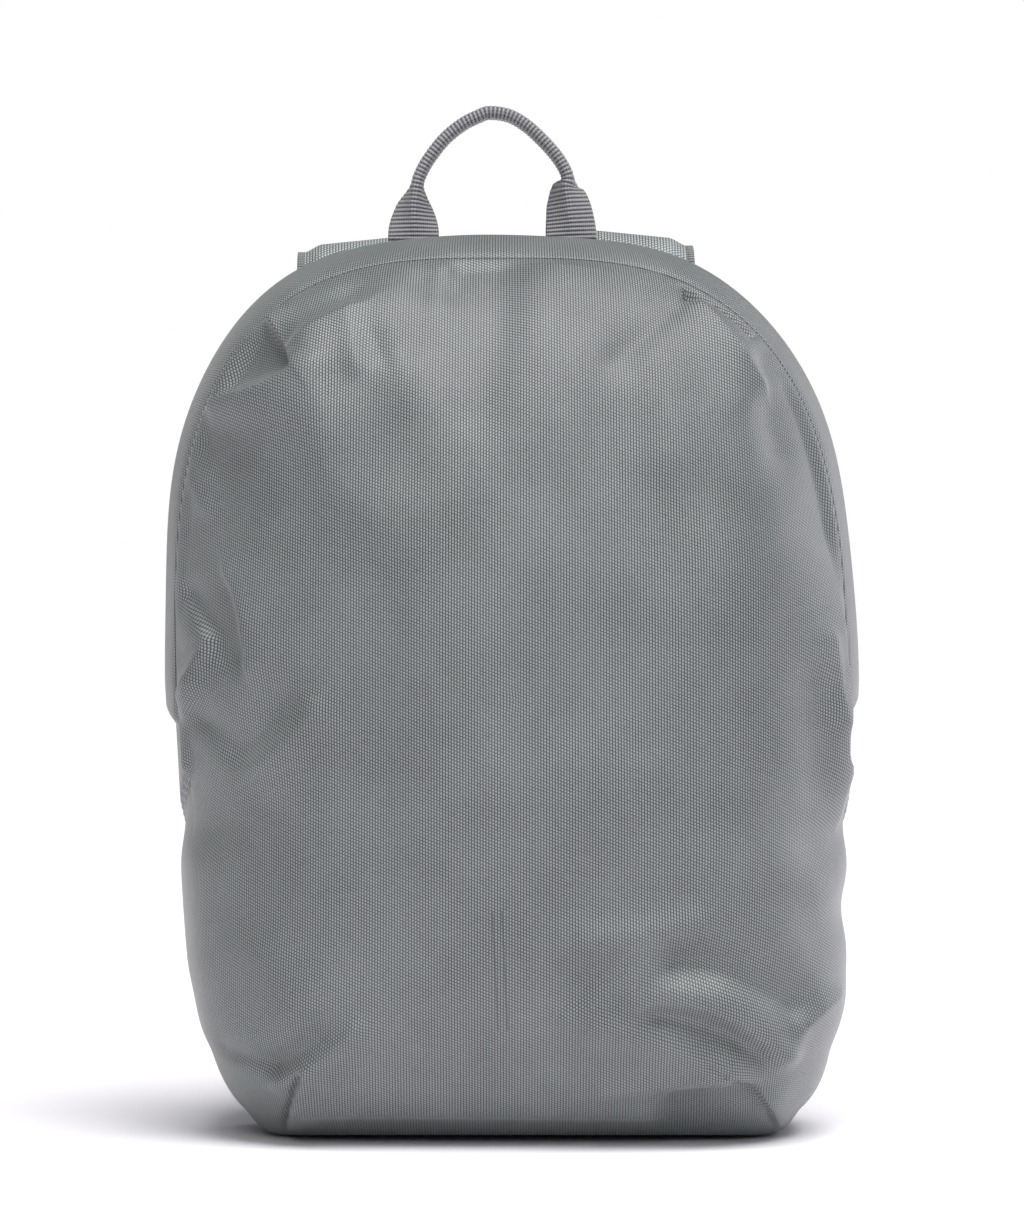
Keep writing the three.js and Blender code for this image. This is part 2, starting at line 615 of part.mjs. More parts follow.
const SHELL_CLOTH = new THREE.MeshStandardMaterial({ color: 0x7f8486, roughness: 0.55, metalness: 0 });
const PAD_CLOTH = new THREE.MeshStandardMaterial({ color: 0x74797c, roughness: 0.75, metalness: 0 });
const WEBBING = new THREE.MeshStandardMaterial({ color: 0x8e8d93, roughness: 0.6, metalness: 0 });
const PLASTIC = new THREE.MeshStandardMaterial({ color: 0x5b5e61, roughness: 0.45, metalness: 0 });

const backpack = new THREE.Group();

function addPiece(name, geometry, material) {
  const mesh = new THREE.Mesh(geometry, material);
  mesh.name = name;
  backpack.add(mesh);
  return mesh;
}

addPiece("front_shell", frontShell(), SHELL_CLOTH);
addPiece("hood", hood(), SHELL_CLOTH);
addPiece("back_panel", backPanel(), PAD_CLOTH);
addPiece("zip", rimStrip(HOOD_ENDS.right, HOOD_ENDS.left), WEBBING);
const hingeGap = 0.15; // degrees left between the zip's ends and the hinge seam
addPiece("hinge_seam", rimStrip(HOOD_ENDS.left + hingeGap, 360 + HOOD_ENDS.right - hingeGap), SHELL_CLOTH);
addPiece("grab_handle", grabHandle(), WEBBING);

for (const [name, side] of [["left", -1], ["right", 1]]) {
  addPiece(`shoulder_strap_${name}`, shoulderStrap(side), PAD_CLOTH);
  addPiece(`strap_webbing_${name}`, strapWebbing(side), WEBBING);
  const end = strapEnd(side);
  const lock = addPiece(`ladder_lock_${name}`, ladderLock(), PLASTIC);
  lock.position.copy(end.place(lockMiddle, 0));
  lock.setRotationFromMatrix(new THREE.Matrix4().makeBasis(end.across, end.down.clone().negate(), end.out));
  const tab = addPiece(`anchor_tab_${name}`, anchorTab(), SHELL_CLOTH);
  const middle = leanAt(ANCHOR_LOW) + side * anchorSpread;
  tab.position.set(middle, panelFace + GAP + ANCHOR_THICK, ANCHOR_LOW);
}

export default backpack;
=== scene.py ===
"""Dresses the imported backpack: cloth with its folds, padding, webbing, stitching, light and camera.

Metres, in the part's frame: the origin on the floor, +Z up, -Y the front of the bag and +X its
right-hand side as seen from the front. The cloth shell is named by two angles, as in the part:
"around" goes round the outline, 0 at the right and 90 at the crown, and "turn" goes from the
back rim over the sides to 90 at the belly.
"""
import math

import bmesh
import bpy
import numpy as np
from mathutils import Matrix, Vector


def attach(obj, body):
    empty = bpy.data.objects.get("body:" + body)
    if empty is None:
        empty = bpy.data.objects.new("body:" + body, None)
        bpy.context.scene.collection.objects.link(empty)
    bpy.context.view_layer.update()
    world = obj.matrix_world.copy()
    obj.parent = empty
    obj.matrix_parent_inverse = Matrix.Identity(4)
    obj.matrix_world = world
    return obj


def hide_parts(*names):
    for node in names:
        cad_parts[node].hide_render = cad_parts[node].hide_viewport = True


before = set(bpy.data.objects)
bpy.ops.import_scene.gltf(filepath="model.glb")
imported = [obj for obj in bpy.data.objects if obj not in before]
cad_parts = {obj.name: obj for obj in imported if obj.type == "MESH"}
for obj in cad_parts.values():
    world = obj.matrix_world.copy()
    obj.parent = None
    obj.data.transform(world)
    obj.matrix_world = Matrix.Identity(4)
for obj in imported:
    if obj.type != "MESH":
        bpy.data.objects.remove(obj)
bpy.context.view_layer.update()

MM = 0.001
RAD = math.pi / 180
UV_NAME = "weave"

# The shell, with the part's own sizes
BODY_WIDTH = 0.296
BODY_HEIGHT = 0.389
WAIST_HEIGHT = 0.197
BELLY_HEIGHT = 0.190
FRONT_REACH = 0.110
WIDEST_Y = 0.040
RIM_Y = 0.055
WALL = 2.4 * MM
GAP = 0.3 * MM
ARCH_POWER = 2.95
FOOT_POWER = 7
FOOT_TAPER = 0.043
FOOT_SINK = 5 * MM
LEAN = 0.0255
RIM_TUCK = 0.012
SHOULDER_POWER = {"top": 2.4, "side": 2.75, "bottom": 3.4}
BACK_TURN = 10
HALF_WIDTH = BODY_WIDTH / 2
STEP = 0.5  # degrees to the neighbours that give a direction
TIP_TURN = 89.8  # where the mesh of the front closes
LAST_TURN = 89.9  # the last one with a direction of its own

# The pieces that the shell carries
HOOD_THICK = 3 * MM
HOOD_TURN = 25
HOOD_ENDS = (-1, 182)
HOOD_SLANT = 4
ZIP_WIDTH = 9 * MM
ZIP_THICK = 2.6 * MM
PANEL_THICK = 12 * MM
PANEL_FACE = RIM_Y + PANEL_THICK
PANEL_EDGE = 3 * MM
PANEL_ROLL = 14 * MM  # how far in the face is full
CHANNEL_X = 27 * MM
CHANNEL_WIDTH = 3.2 * MM
CHANNEL_DEPTH = 3.4 * MM
CROSS_CHANNELS = (105 * MM, 190 * MM, 275 * MM)
CROSS_DEPTH = 3 * MM
SPINE_WIDTH = 22 * MM
SPINE_DEPTH = 2.2 * MM
STRAP_WIDTH = 60 * MM
STRAP_THICK = 9 * MM
STRAP_EDGE = 3.2 * MM
STRAP_SPREAD = 58.5 * MM
STRAP_TOP = 391.5 * MM
STRAP_TILT = 0.1
STRAP_END_HEIGHT = 158 * MM
ARM_GAP = 27 * MM
WEBBING_WIDTH = 20 * MM
WEBBING_THICK = 1.5 * MM
LOCK_WIDTH = 28 * MM
LOCK_THICK = 3.6 * MM
LOCK_BAR = 5.4 * MM
LOCK_SLOT = 4.6 * MM
ANCHOR_WIDTH = 30 * MM
ANCHOR_HEIGHT = 34 * MM
ANCHOR_THICK = 3 * MM
ANCHOR_SPREAD = HALF_WIDTH - 40 * MM
ANCHOR_LOW = 26 * MM
HANDLE_WEBBING = 22.4 * MM
HANDLE_THICK = 2.4 * MM
HANDLE_SPAN = 69.5 * MM
HANDLE_RISE = 57.6 * MM
HANDLE_Y = 43 * MM
HANDLE_FOOT_SINK = 5 * MM
FOLD_RADIUS = 1.45 * MM
TOP_SHIFT = -2.5 * MM

# Finish of the cloth and webbing
TWILL_PITCH = 1.2 * MM
TWILL_DEPTH = 0.17 * MM
MESH_PITCH = 2.6 * MM
YARN_PITCH = 0.9 * MM
RIB_PITCH = 1.8 * MM
RIB_HEIGHT = 0.3 * MM
BINDING_WIDTH = 3.4 * MM
BINDING_INSET = 1.2 * MM
BINDING_PROUD = 0.7 * MM
STITCH_PITCH = 3.4 * MM
STITCH_LENGTH = 2.5 * MM
STITCH_RADIUS = 0.28 * MM
STITCH_FLAT = 1.2  # width of a stitch as a share of its height
STITCH_INSET = 5.2 * MM
STITCH_PROUD = 0.45 * MM
TOOTH_PITCH = 1.9 * MM

# Camera: level, in front of the bag
CAMERA_DISTANCE = 2.0
CAMERA_HEIGHT = 0.226
FRAME_HEIGHT = 0.541  # seen from top to bottom at the shell's widest section
SENSOR = 36

# Light
ROOM_LIGHT = 0.16
OVERHEAD_LIGHT = 3.7
OVERHEAD_AIM = (-0.2, 0.36, -1)

# The front's lower edge is rolled up off the floor
FOOT_RISE = 8 * MM
FOOT_HEIGHT = 60 * MM  # where the roll has faded out
FOOT_START = 20 * MM  # the y behind which there is none
FOOT_REACH = 75 * MM  # how much further forward it is full

# The front swells past the hood's seam, by turn angles
SEAM_PUFF = 2.4 * MM
PUFF_START = HOOD_TURN - 0.8
PUFF_RISE = 0.9
PUFF_TOP = 34
PUFF_FALL = 36

# Folds as a whole
FOLD_STRENGTH = 1.35
FOLD_LIMIT = 7.5 * MM  # where folds meet, the cloth stands no further out than this
FOLD_FREE_TURN = 4  # degrees from a sewn edge to where folds are full
FOLD_FREE_HEIGHT = 9 * MM  # height above the flat base where they are full

# Each fold, seen from the front: start, end, lift, above, below, crisp and, where its line isn't
# straight, bow. The ends are shares of the half width and of the height. lift, above and below
# are millimetres: how far the fold stands out or in, and how far it spreads on each side of its
# line. crisp is 2 for a soft swell and nearer 1 for a pressed edge, and bow bends the line by a
# share of its length.
FOLDS = [
    # top left tuck: its pocket, the two edges that frame it and the shelf beside it
    ((-0.9, 0.84), (-0.645, 0.864), -8, 10, 7, 2),
    ((-0.72, 0.92), (-0.605, 0.845), 6, 13, 1.3, 1.3),
    ((-0.85, 0.815), (-0.605, 0.842), 5.4, 1.3, 15, 1.3, -0.07),
    ((-0.62, 0.868), (-0.45, 0.908), 3, 3, 15, 1.3, 0.05),
    ((-0.6, 0.84), (-0.4, 0.69), 2.6, 20, 14, 1.8, -0.08),
    ((-0.46, 0.92), (-0.37, 0.862), -1.8, 8, 6, 1.6),
    ((-0.46, 0.91), (-0.44, 0.85), 2, 4, 6, 1.6),
    ((-0.34, 0.91), (-0.25, 0.81), 2, 14, 14, 2),
    # creases under the crown
    ((-0.14, 0.965), (-0.17, 0.934), -2.0, 4, 8, 1.5),
    ((-0.2, 0.97), (-0.23, 0.91), 1.2, 8, 8, 1.9),
    ((-0.04, 0.95), (-0.1, 0.8), -1.9, 14, 14, 2),
    ((-0.25, 0.94), (-0.28, 0.87), -1.6, 7, 8, 2),
    ((0.12, 0.94), (0.1, 0.8), 2.2, 20, 20, 2),
    # top right tuck
    ((0.49, 0.95), (0.515, 0.925), -4, 2.5, 2, 1.5),
    ((0.5, 0.92), (0.31, 0.862), -3, 8, 9, 1.5),
    ((0.53, 0.916), (0.7, 0.832), 5, 9, 9, 1.1),
    ((0.51, 0.932), (0.68, 0.886), -5, 2.5, 2.2, 1.4, 0.05),
    ((0.715, 0.85), (0.77, 0.76), -3, 7, 8, 1.8),
    ((0.42, 0.88), (0.44, 0.76), 1.8, 13, 13, 2),
    # left side
    ((-0.94, 0.78), (-0.885, 0.732), 2.2, 3.5, 5, 1.5),
    ((-0.94, 0.742), (-0.885, 0.7), 2.2, 3.5, 6, 1.5),
    ((-0.84, 0.77), (-0.83, 0.62), -3.4, 16, 16, 2),
    ((-0.985, 0.64), (-0.885, 0.562), 3.4, 3, 6, 1.3, -0.05),
    ((-0.93, 0.6), (-0.81, 0.535), -4.4, 6, 6, 1.8),
    ((-0.83, 0.625), (-0.765, 0.53), 3, 16, 2.2, 1.4, 0.08),
    ((-0.91, 0.506), (-0.965, 0.42), 2.2, 4, 4, 1.4),
    ((-0.87, 0.552), (-0.955, 0.476), 2.8, 4, 5, 1.4),
    ((-0.78, 0.438), (-0.67, 0.484), -3.4, 8, 4.5, 1.5, -0.05),
    ((-0.9, 0.468), (-0.79, 0.438), -2.6, 7, 5, 1.6),
    ((-0.72, 0.42), (-0.58, 0.478), 2.4, 5, 11, 1.6, -0.05),
    ((-0.97, 0.45), (-0.89, 0.36), -2.6, 14, 16, 2),
    ((-0.94, 0.3), (-0.93, 0.2), 1.6, 16, 16, 2),
    # right side
    ((0.985, 0.56), (0.985, 0.43), 3, 16, 18, 2),
    ((0.9, 0.552), (0.93, 0.465), 2.2, 3, 4.5, 1.3),
    ((0.95, 0.515), (0.995, 0.46), 1.8, 3.5, 4, 1.4),
    ((0.94, 0.475), (0.955, 0.36), 2, 4.5, 6, 1.4),
    ((0.87, 0.5), (0.88, 0.4), -2.2, 9, 9, 2),
    ((0.995, 0.355), (0.9, 0.33), -2.4, 13, 12, 2),
    ((0.995, 0.255), (0.9, 0.24), -2.4, 12, 11, 2),
    ((0.87, 0.83), (0.9, 0.68), -2.6, 14, 16, 2),
    # bottom right
    ((0.22, 0.226), (0.52, 0.246), 3.4, 8, 9, 1.6),
    ((0.16, 0.148), (0.33, 0.198), 3.2, 4, 8, 1.5),
    ((0.36, 0.168), (0.77, 0.104), 4.8, 8, 6.5, 1.5, 0.14),
    ((0.25, 0.142), (0.6, 0.08), 5.5, 5.5, 9, 1.6, 0.05),
    ((0.48, 0.205), (0.8, 0.16), -4, 12, 6, 1.7, 0.08),
    ((0.42, 0.152), (0.7, 0.104), -2.2, 5, 5, 2, 0.08),
    ((0.82, 0.13), (0.93, 0.162), 2.6, 5, 5, 1.4),
    ((0.27, 0.056), (0.61, 0.078), 3, 8, 2.4, 1.3),
    ((0.47, 0.042), (0.67, 0.056), -5, 5, 9, 2),
    # the corner seams of the base, and a dent at each corner
    ((0.93, 0.09), (0.84, 0.015), -3, 13, 13, 2),
    ((0.555, 0.094), (0.605, 0.087), -2.4, 1.4, 1.6, 2),
    ((0.6, 0.087), (0.76, 0.014), 3.4, 11, 1.1, 1.2, 0.07),
    ((-0.595, 0.078), (-0.65, 0.01), 3.6, 1.0, 10, 1.1),
    ((0.6, 0.084), (0.765, 0.01), -3.4, 1.2, 1.5, 2, 0.07),
    ((-0.6, 0.078), (-0.656, 0.01), -3.4, 1.5, 1.2, 2),
    ((-0.92, 0.08), (-0.8, 0.01), -2.6, 12, 12, 2),
    # bottom left
    ((-0.67, 0.09), (-0.55, 0.126), -2.6, 9, 5, 1.6, -0.05),
    ((-0.84, 0.1), (-0.68, 0.087), -2.4, 6, 4, 1.6),
    ((-0.66, 0.07), (-0.45, 0.132), 3, 3.5, 9, 1.5, -0.05),
    ((-0.7, 0.2), (-0.62, 0.15), 2, 14, 12, 2),
    # the front's lower edge and its slow waves
    ((0.84, 0.72), (0.84, 0.2), -0.8, 22, 22, 2),
    ((-0.71, 0.74), (-0.71, 0.2), -3.2, 26, 26, 2),
    ((-0.58, 0.03), (0.4, 0.026), 2.6, 12, 3, 1.5),
    ((-0.12, 0.75), (-0.1, 0.22), 2.4, 34, 34, 2),
    ((-0.46, 0.72), (-0.4, 0.25), -2.8, 26, 26, 2),
    ((0.32, 0.76), (0.2, 0.5), -2.2, 26, 26, 2),
    ((0.62, 0.62), (0.58, 0.34), 1.8, 24, 24, 2),
]


def smooth(share):
    """0 to 1 with an even start and end."""
    s = np.clip(share, 0, 1)
    return s * s * (3 - 2 * s)


def unit(vectors):
    """Vectors at a length of 1."""
    return vectors / np.linalg.norm(vectors, axis=-1, keepdims=True)


def lean_at(z):
    """How far the middle of the bag leans sideways at a height."""
    return -LEAN * (z - WAIST_HEIGHT)


def travel(line):
    """Distance travelled at each point of a line."""
    return np.concatenate([[0], np.cumsum(np.linalg.norm(np.diff(line, axis=0), axis=1))])


def place_on(line, travelled, distance):
    """The values of a line after a distance."""
    return np.array([np.interp(distance, travelled, line[:, axis]) for axis in range(3)])


def sections(line, side, out, along_side, along_out):
    """Points of a section at each place of a line, from their reach along two directions."""
    sideways = side[:, None, :] * along_side[..., None]
    return line[:, None, :] + sideways + out[:, None, :] * along_out[..., None]


def outline(around):
    """The shell's widest section seen from the front, as x and z."""
    across, up = np.cos(around * RAD), np.sin(around * RAD)
    power = np.where(up > 0, ARCH_POWER, FOOT_POWER)
    rise = np.where(up > 0, BODY_HEIGHT - WAIST_HEIGHT, WAIST_HEIGHT + FOOT_SINK)
    reach = (np.abs(across) ** power + np.abs(up) ** power) ** (-1 / power)
    z = WAIST_HEIGHT + rise * reach * up
    low = np.maximum(0, (WAIST_HEIGHT - z) / WAIST_HEIGHT)
    return HALF_WIDTH * reach * across * (1 - FOOT_TAPER * low) + lean_at(z), z


def smooth_shell(around, turn):
    """Points of the shell before its folds, for arrays of angles that broadcast."""
    around, turn = np.broadcast_arrays(np.asarray(around, float), np.asarray(turn, float))
    up = np.sin(around * RAD)
    end = np.where(up > 0, SHOULDER_POWER["top"], SHOULDER_POWER["bottom"])
    power = SHOULDER_POWER["side"] + (end - SHOULDER_POWER["side"]) * up * up
    side = np.cos(np.maximum(turn, 0) * RAD)
    ahead = np.sin(np.maximum(turn, 0) * RAD)
    reach = (np.abs(side) ** power + ahead**power) ** (-1 / power)
    back = np.maximum(-turn, 0) / BACK_TURN
    share = np.where(turn < 0, 1 - RIM_TUCK * back * back, side * reach)
    y = np.where(turn < 0, WIDEST_Y + (RIM_Y - WIDEST_Y) * back, WIDEST_Y - FRONT_REACH * ahead * reach)
    edge_x, edge_z = outline(around)
    middle = lean_at(BELLY_HEIGHT)
    x = middle + (edge_x - middle) * share
    z = np.maximum(0, BELLY_HEIGHT + (edge_z - BELLY_HEIGHT) * share)
    return np.stack([x, y, z], axis=-1)


def smooth_normal(around, turn):
    """The shell's outward direction, from points one step away on each side."""
    ahead = np.minimum(np.asarray(turn, float) + STEP, LAST_TURN)
    behind = np.maximum(np.asarray(turn, float) - STEP, -BACK_TURN)
    along = smooth_shell(around + STEP, turn) - smooth_shell(around - STEP, turn)
    forward = smooth_shell(around, ahead) - smooth_shell(around, behind)
    return unit(np.cross(along, forward))


def fold_lift(x, z, start, end, lift, above, below, crisp, bow=0):
    """How far one fold lifts the cloth at places seen from the front."""
    start = np.array(start) * (HALF_WIDTH, BODY_HEIGHT)
    end = np.array(end) * (HALF_WIDTH, BODY_HEIGHT)
    run = end - start
    length = np.hypot(*run)
    along = ((x - start[0]) * run[0] + (z - start[1]) * run[1]) / length
    way = 1 if run[0] >= 0 else -1
    side = ((z - start[1]) * run[0] - (x - start[0]) * run[1]) * way / length
    share = np.clip(along / length, 0, 1)
    side = side - bow * length * 4 * share * (1 - share)
    spread = np.where(side > 0, above, below) * MM
    past = np.maximum(0, np.maximum(-along, along - length)) / (0.5 * (above + below) * MM)
    return FOLD_STRENGTH * lift * MM * np.exp(-(np.abs(side / spread) ** crisp) - past**2)


def under_hood(around):
    """1 where the hood lies over the shell, falling to 0 a little past its ends."""
    bearing = np.mod(around, 360)
    from_right = np.where(bearing > 270, bearing - 360, bearing)
    past = np.maximum(HOOD_ENDS[0] - from_right, from_right - HOOD_ENDS[1]) - HOOD_SLANT
    return 1 - smooth(past / BACK_TURN - 0.4)


def cloth(around, turn, offset=0.0):
    """Points of the folded cloth, moved out along the normal by offset."""
    around, turn = np.broadcast_arrays(np.asarray(around, float), np.asarray(turn, float))
    base = smooth_shell(around, turn)
    normal = smooth_normal(around, turn)
    lift = sum(fold_lift(base[..., 0], base[..., 2], *fold) for fold in FOLDS)
    lift = FOLD_LIMIT * np.tanh(lift / FOLD_LIMIT)
    covered = under_hood(around)
    free = smooth((turn + BACK_TURN - (HOOD_TURN + BACK_TURN) * covered) / FOLD_FREE_TURN)
    grounded = smooth(base[..., 2] / FOLD_FREE_HEIGHT)
    puff = covered * smooth((turn - PUFF_START) / PUFF_RISE) * (1 - smooth((turn - PUFF_TOP) / PUFF_FALL))
    height = (lift * free + SEAM_PUFF * puff) * grounded + offset
    folded = base + normal * height[..., None]
    low = 1 - np.clip(folded[..., 2] / FOOT_HEIGHT, 0, 1)
    forward = smooth((FOOT_START - folded[..., 1]) / FOOT_REACH)
    folded[..., 2] += FOOT_RISE * low * low * forward
    folded[..., 2] = np.maximum(folded[..., 2], 0)
    return folded


def weave_uv(around, turn):
    """Cloth coordinates in metres: the front view, unrolled outwards over the sides."""
    around, turn = np.broadcast_arrays(np.asarray(around, float), np.asarray(turn, float))
    ladder = np.linspace(90, -15, 200)
    uv = np.empty(around.shape + (2,))
    middle = np.array([lean_at(BELLY_HEIGHT), BELLY_HEIGHT])
    for index in range(around.shape[0]):
        ray = smooth_shell(around[index, 0], ladder)
        travelled = travel(ray)
        radius = np.hypot(ray[:, 0] - middle[0], ray[:, 2] - middle[1])
        extra = np.interp(-turn[index], -ladder, travelled - radius)
        before, after = outline(around[index, 0] - STEP), outline(around[index, 0] + STEP)
        run = np.array([after[0] - before[0], after[1] - before[1]])
        outwards = np.array([run[1], -run[0]]) / np.hypot(*run)
        flat = smooth_shell(around[index], turn[index])[:, [0, 2]]
        uv[index] = flat + outwards * extra[:, None]
    return uv


# Mesh building


def grid_mesh(name, points, uv, closed_rows=False, closed_columns=False, tip=None):
    """A smooth mesh from a rows x columns grid of points, with the named UV map in metres.

    uv has one more row or column than points where the grid closes on itself.
    """
    rows, columns = points.shape[:2]
    i, j = np.meshgrid(
        np.arange(rows if closed_rows else rows - 1),
        np.arange(columns if closed_columns else columns - 1),
        indexing="ij",
    )
    i, j = i.ravel(), j.ravel()
    corner_rows = np.stack([i, i + 1, i + 1, i], axis=1)
    corner_columns = np.stack([j, j, j + 1, j + 1], axis=1)
    faces = (corner_rows % rows) * columns + corner_columns % columns
    uv_rows, uv_columns = uv.shape[:2]
    corner_uv = uv[corner_rows % uv_rows, corner_columns % uv_columns].reshape(-1, 2)
    vertices = points.reshape(-1, 3)
    face_list = faces.tolist()
    if tip is not None:
        ring = np.arange(rows)
        fan = np.stack([ring * columns + columns - 1, ((ring + 1) % rows) * columns + columns - 1], axis=1)
        vertices = np.vstack([vertices, tip[0]])
        face_list += [[a, b, rows * columns] for a, b in fan.tolist()]
        fan_uv = [[uv[r, -1], uv[(r + 1) % rows, -1], tip[1]] for r in ring]
        corner_uv = np.vstack([corner_uv, np.array(fan_uv).reshape(-1, 2)])
    mesh = bpy.data.meshes.new(name)
    mesh.from_pydata(vertices.tolist(), [], face_list)
    mesh.uv_layers.new(name=UV_NAME).data.foreach_set("uv", corner_uv.ravel())
    mesh.polygons.foreach_set("use_smooth", [True] * len(mesh.polygons))
    mesh.update()
    return mesh


def tube_mesh(name, points, uv):
    """A closed mesh from the sections in the rows of points, with its two ends filled."""
    mesh = grid_mesh(name, points, uv, closed_columns=True)
    rows, columns = points.shape[:2]
    work = bmesh.new()
    work.from_mesh(mesh)
    work.verts.ensure_lookup_table()
    for row in (0, rows - 1):
        work.faces.new([work.verts[row * columns + column] for column in range(columns)])
    work.to_mesh(mesh)
    work.free()
    recalculate(mesh)
    return mesh


def tube_uv(across, travelled):
    """Cloth coordinates of a tube: round its section and along its length."""
    return np.stack(np.broadcast_arrays(across[None, :], travelled[:, None]), axis=-1)


def place_in_scene(name, data):
    """A new object with the given mesh, light or camera."""
    thing = bpy.data.objects.new(name, data)
    bpy.context.scene.collection.objects.link(thing)
    return thing


def add_object(name, mesh, material, replaces=()):
    """Puts a mesh in the scene as a piece of the bag."""
    piece = place_in_scene(name, mesh)
    mesh.materials.append(material)
    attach(piece, "root")
    if replaces:
        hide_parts(*replaces)
    return piece


def recalculate(mesh):
    """Turns a closed mesh's faces outwards."""
    work = bmesh.new()
    work.from_mesh(mesh)
    bmesh.ops.recalc_face_normals(work, faces=work.faces)
    work.to_mesh(mesh)
    work.free()


def add_bead(vertices, faces, rings):
    """Adds a small closed form through rings of points to lists of vertices and faces."""
    first, size = len(vertices), len(rings[0])
    for ring in rings:
        vertices.extend(ring)
    for level in range(len(rings) - 1):
        for k in range(size):
            a, b = first + level * size + k, first + level * size + (k + 1) % size
            faces.append((a, b, b + size, a + size))
    faces.append(tuple(first + k for k in reversed(range(size))))
    faces.append(tuple(first + (len(rings) - 1) * size + k for k in range(size)))


def beads_mesh(name, vertices, faces):
    """A smooth mesh of such closed forms."""
    mesh = bpy.data.meshes.new(name)
    mesh.from_pydata([tuple(v) for v in vertices], [], faces)
    mesh.uv_layers.new(name=UV_NAME)
    mesh.polygons.foreach_set("use_smooth", [True] * len(mesh.polygons))
    recalculate(mesh)
    return mesh


def add_stitches(name, lines):
    """Short raised threads along lines of points and their normals, as one piece."""
    ring = np.linspace(0, 2 * math.pi, 7)[:-1]
    profile = [(-0.5, 0.45), (-0.36, 1.0), (0.36, 1.0), (0.5, 0.45)]
    vertices, faces = [], []
    for line, normals in lines:
        travelled = travel(line)
        for index in range(int(travelled[-1] / STITCH_PITCH)):
            here = (index + 0.5) * STITCH_PITCH
            spot = place_on(line, travelled, here)
            up = unit(place_on(normals, travelled, here))
            run = unit(place_on(line, travelled, here + 0.4 * MM) - spot)
            side = unit(np.cross(run, up))
            rings = []
            for along, width in profile:
                centre = spot + run * along * STITCH_LENGTH
                arms = [side * math.cos(turn) * STITCH_FLAT + up * math.sin(turn) for turn in ring]
                rings.append([centre + arm * STITCH_RADIUS * width for arm in arms])
            add_bead(vertices, faces, rings)
    add_object(name, beads_mesh(name, vertices, faces), THREAD)


# Materials


class Nodes:
    """A small helper that adds and links shader nodes."""

    def __init__(self, name):
        self.material = bpy.data.materials.new(name)
        self.material.use_nodes = True
        self.tree = self.material.node_tree
        self.shader = self.tree.nodes["Principled BSDF"]

    def link(self, value, socket):
        if isinstance(value, bpy.types.NodeSocket):
            self.tree.links.new(value, socket)
        else:
            socket.default_value = value

    def math(self, operation, *values):
        node = self.tree.nodes.new("ShaderNodeMath")
        node.operation = operation
        for value, socket in zip(values, node.inputs):
            self.link(value, socket)
        return node.outputs[0]

    def mix(self, factor, low, high):
        node = self.tree.nodes.new("ShaderNodeMix")
        node.data_type = "RGBA"
        self.link(factor, node.inputs[0])
        self.link(low, node.inputs[6])
        self.link(high, node.inputs[7])
        return node.outputs[2]

    def uv(self):
        node = self.tree.nodes.new("ShaderNodeUVMap")
        node.uv_map = UV_NAME
        split = self.tree.nodes.new("ShaderNodeSeparateXYZ")
        self.link(node.outputs[0], split.inputs[0])
        return split.outputs[0], split.outputs[1]

    def noise(self, scale, detail):
        node = self.tree.nodes.new("ShaderNodeTexNoise")
        node.inputs["Scale"].default_value = scale
        node.inputs["Detail"].default_value = detail
        node.inputs["Roughness"].default_value = 0.55
        coordinates = self.tree.nodes.new("ShaderNodeTexCoord")
        self.link(coordinates.outputs["Object"], node.inputs["Vector"])
        return node.outputs[0]

    def bump(self, height, distance):
        node = self.tree.nodes.new("ShaderNodeBump")
        node.inputs["Strength"].default_value = 1.0
        node.inputs["Distance"].default_value = distance
        self.link(height, node.inputs["Height"])
        return node.outputs[0]

    def varied(self, value, noise, amount):
        """A value that noise from 0 to 1 raises or lowers by up to half of amount."""
        return self.math("MULTIPLY_ADD", self.math("SUBTRACT", noise, 0.5), amount, value)

    def clamped(self, value):
        """A value held between 0 and 1."""
        return self.math("MINIMUM", self.math("MAXIMUM", value, 0.0), 1.0)

    def ridges(self, value, pitch):
        """Rounded ridges at a pitch along a value."""
        return self.math("ABSOLUTE", self.math("SINE", self.math("MULTIPLY", value, math.pi / pitch)))

    def set(self, **values):
        """Sets inputs of the shader, with _ for a space in their names."""
        for name, value in values.items():
            self.link(value, self.shader.inputs[name.replace("_", " ")])


def shade(grey, tint):
    """A tinted grey with full alpha."""
    return (grey * tint[0], grey * tint[1], grey * tint[2], 1.0)


COOL = (0.915, 0.995, 1.005)
LILAC = (0.98, 0.97, 1.03)


def twill_dots(nodes):
    """Height of a twill of small raised dots, each column shifted by a third of a dot."""
    u, v = nodes.uv()
    columns = nodes.math("DIVIDE", u, TWILL_PITCH)
    shift = nodes.math("MULTIPLY", nodes.math("FLOOR", columns), 1 / 3)
    rows = nodes.math("ADD", nodes.math("DIVIDE", v, TWILL_PITCH * 1.15), shift)
    across = nodes.math("SINE", nodes.math("MULTIPLY", nodes.math("FRACT", columns), math.pi))
    along = nodes.math("SINE", nodes.math("MULTIPLY", nodes.math("FRACT", rows), math.pi))
    return nodes.math("MULTIPLY", across, nodes.math("POWER", along, 0.8))


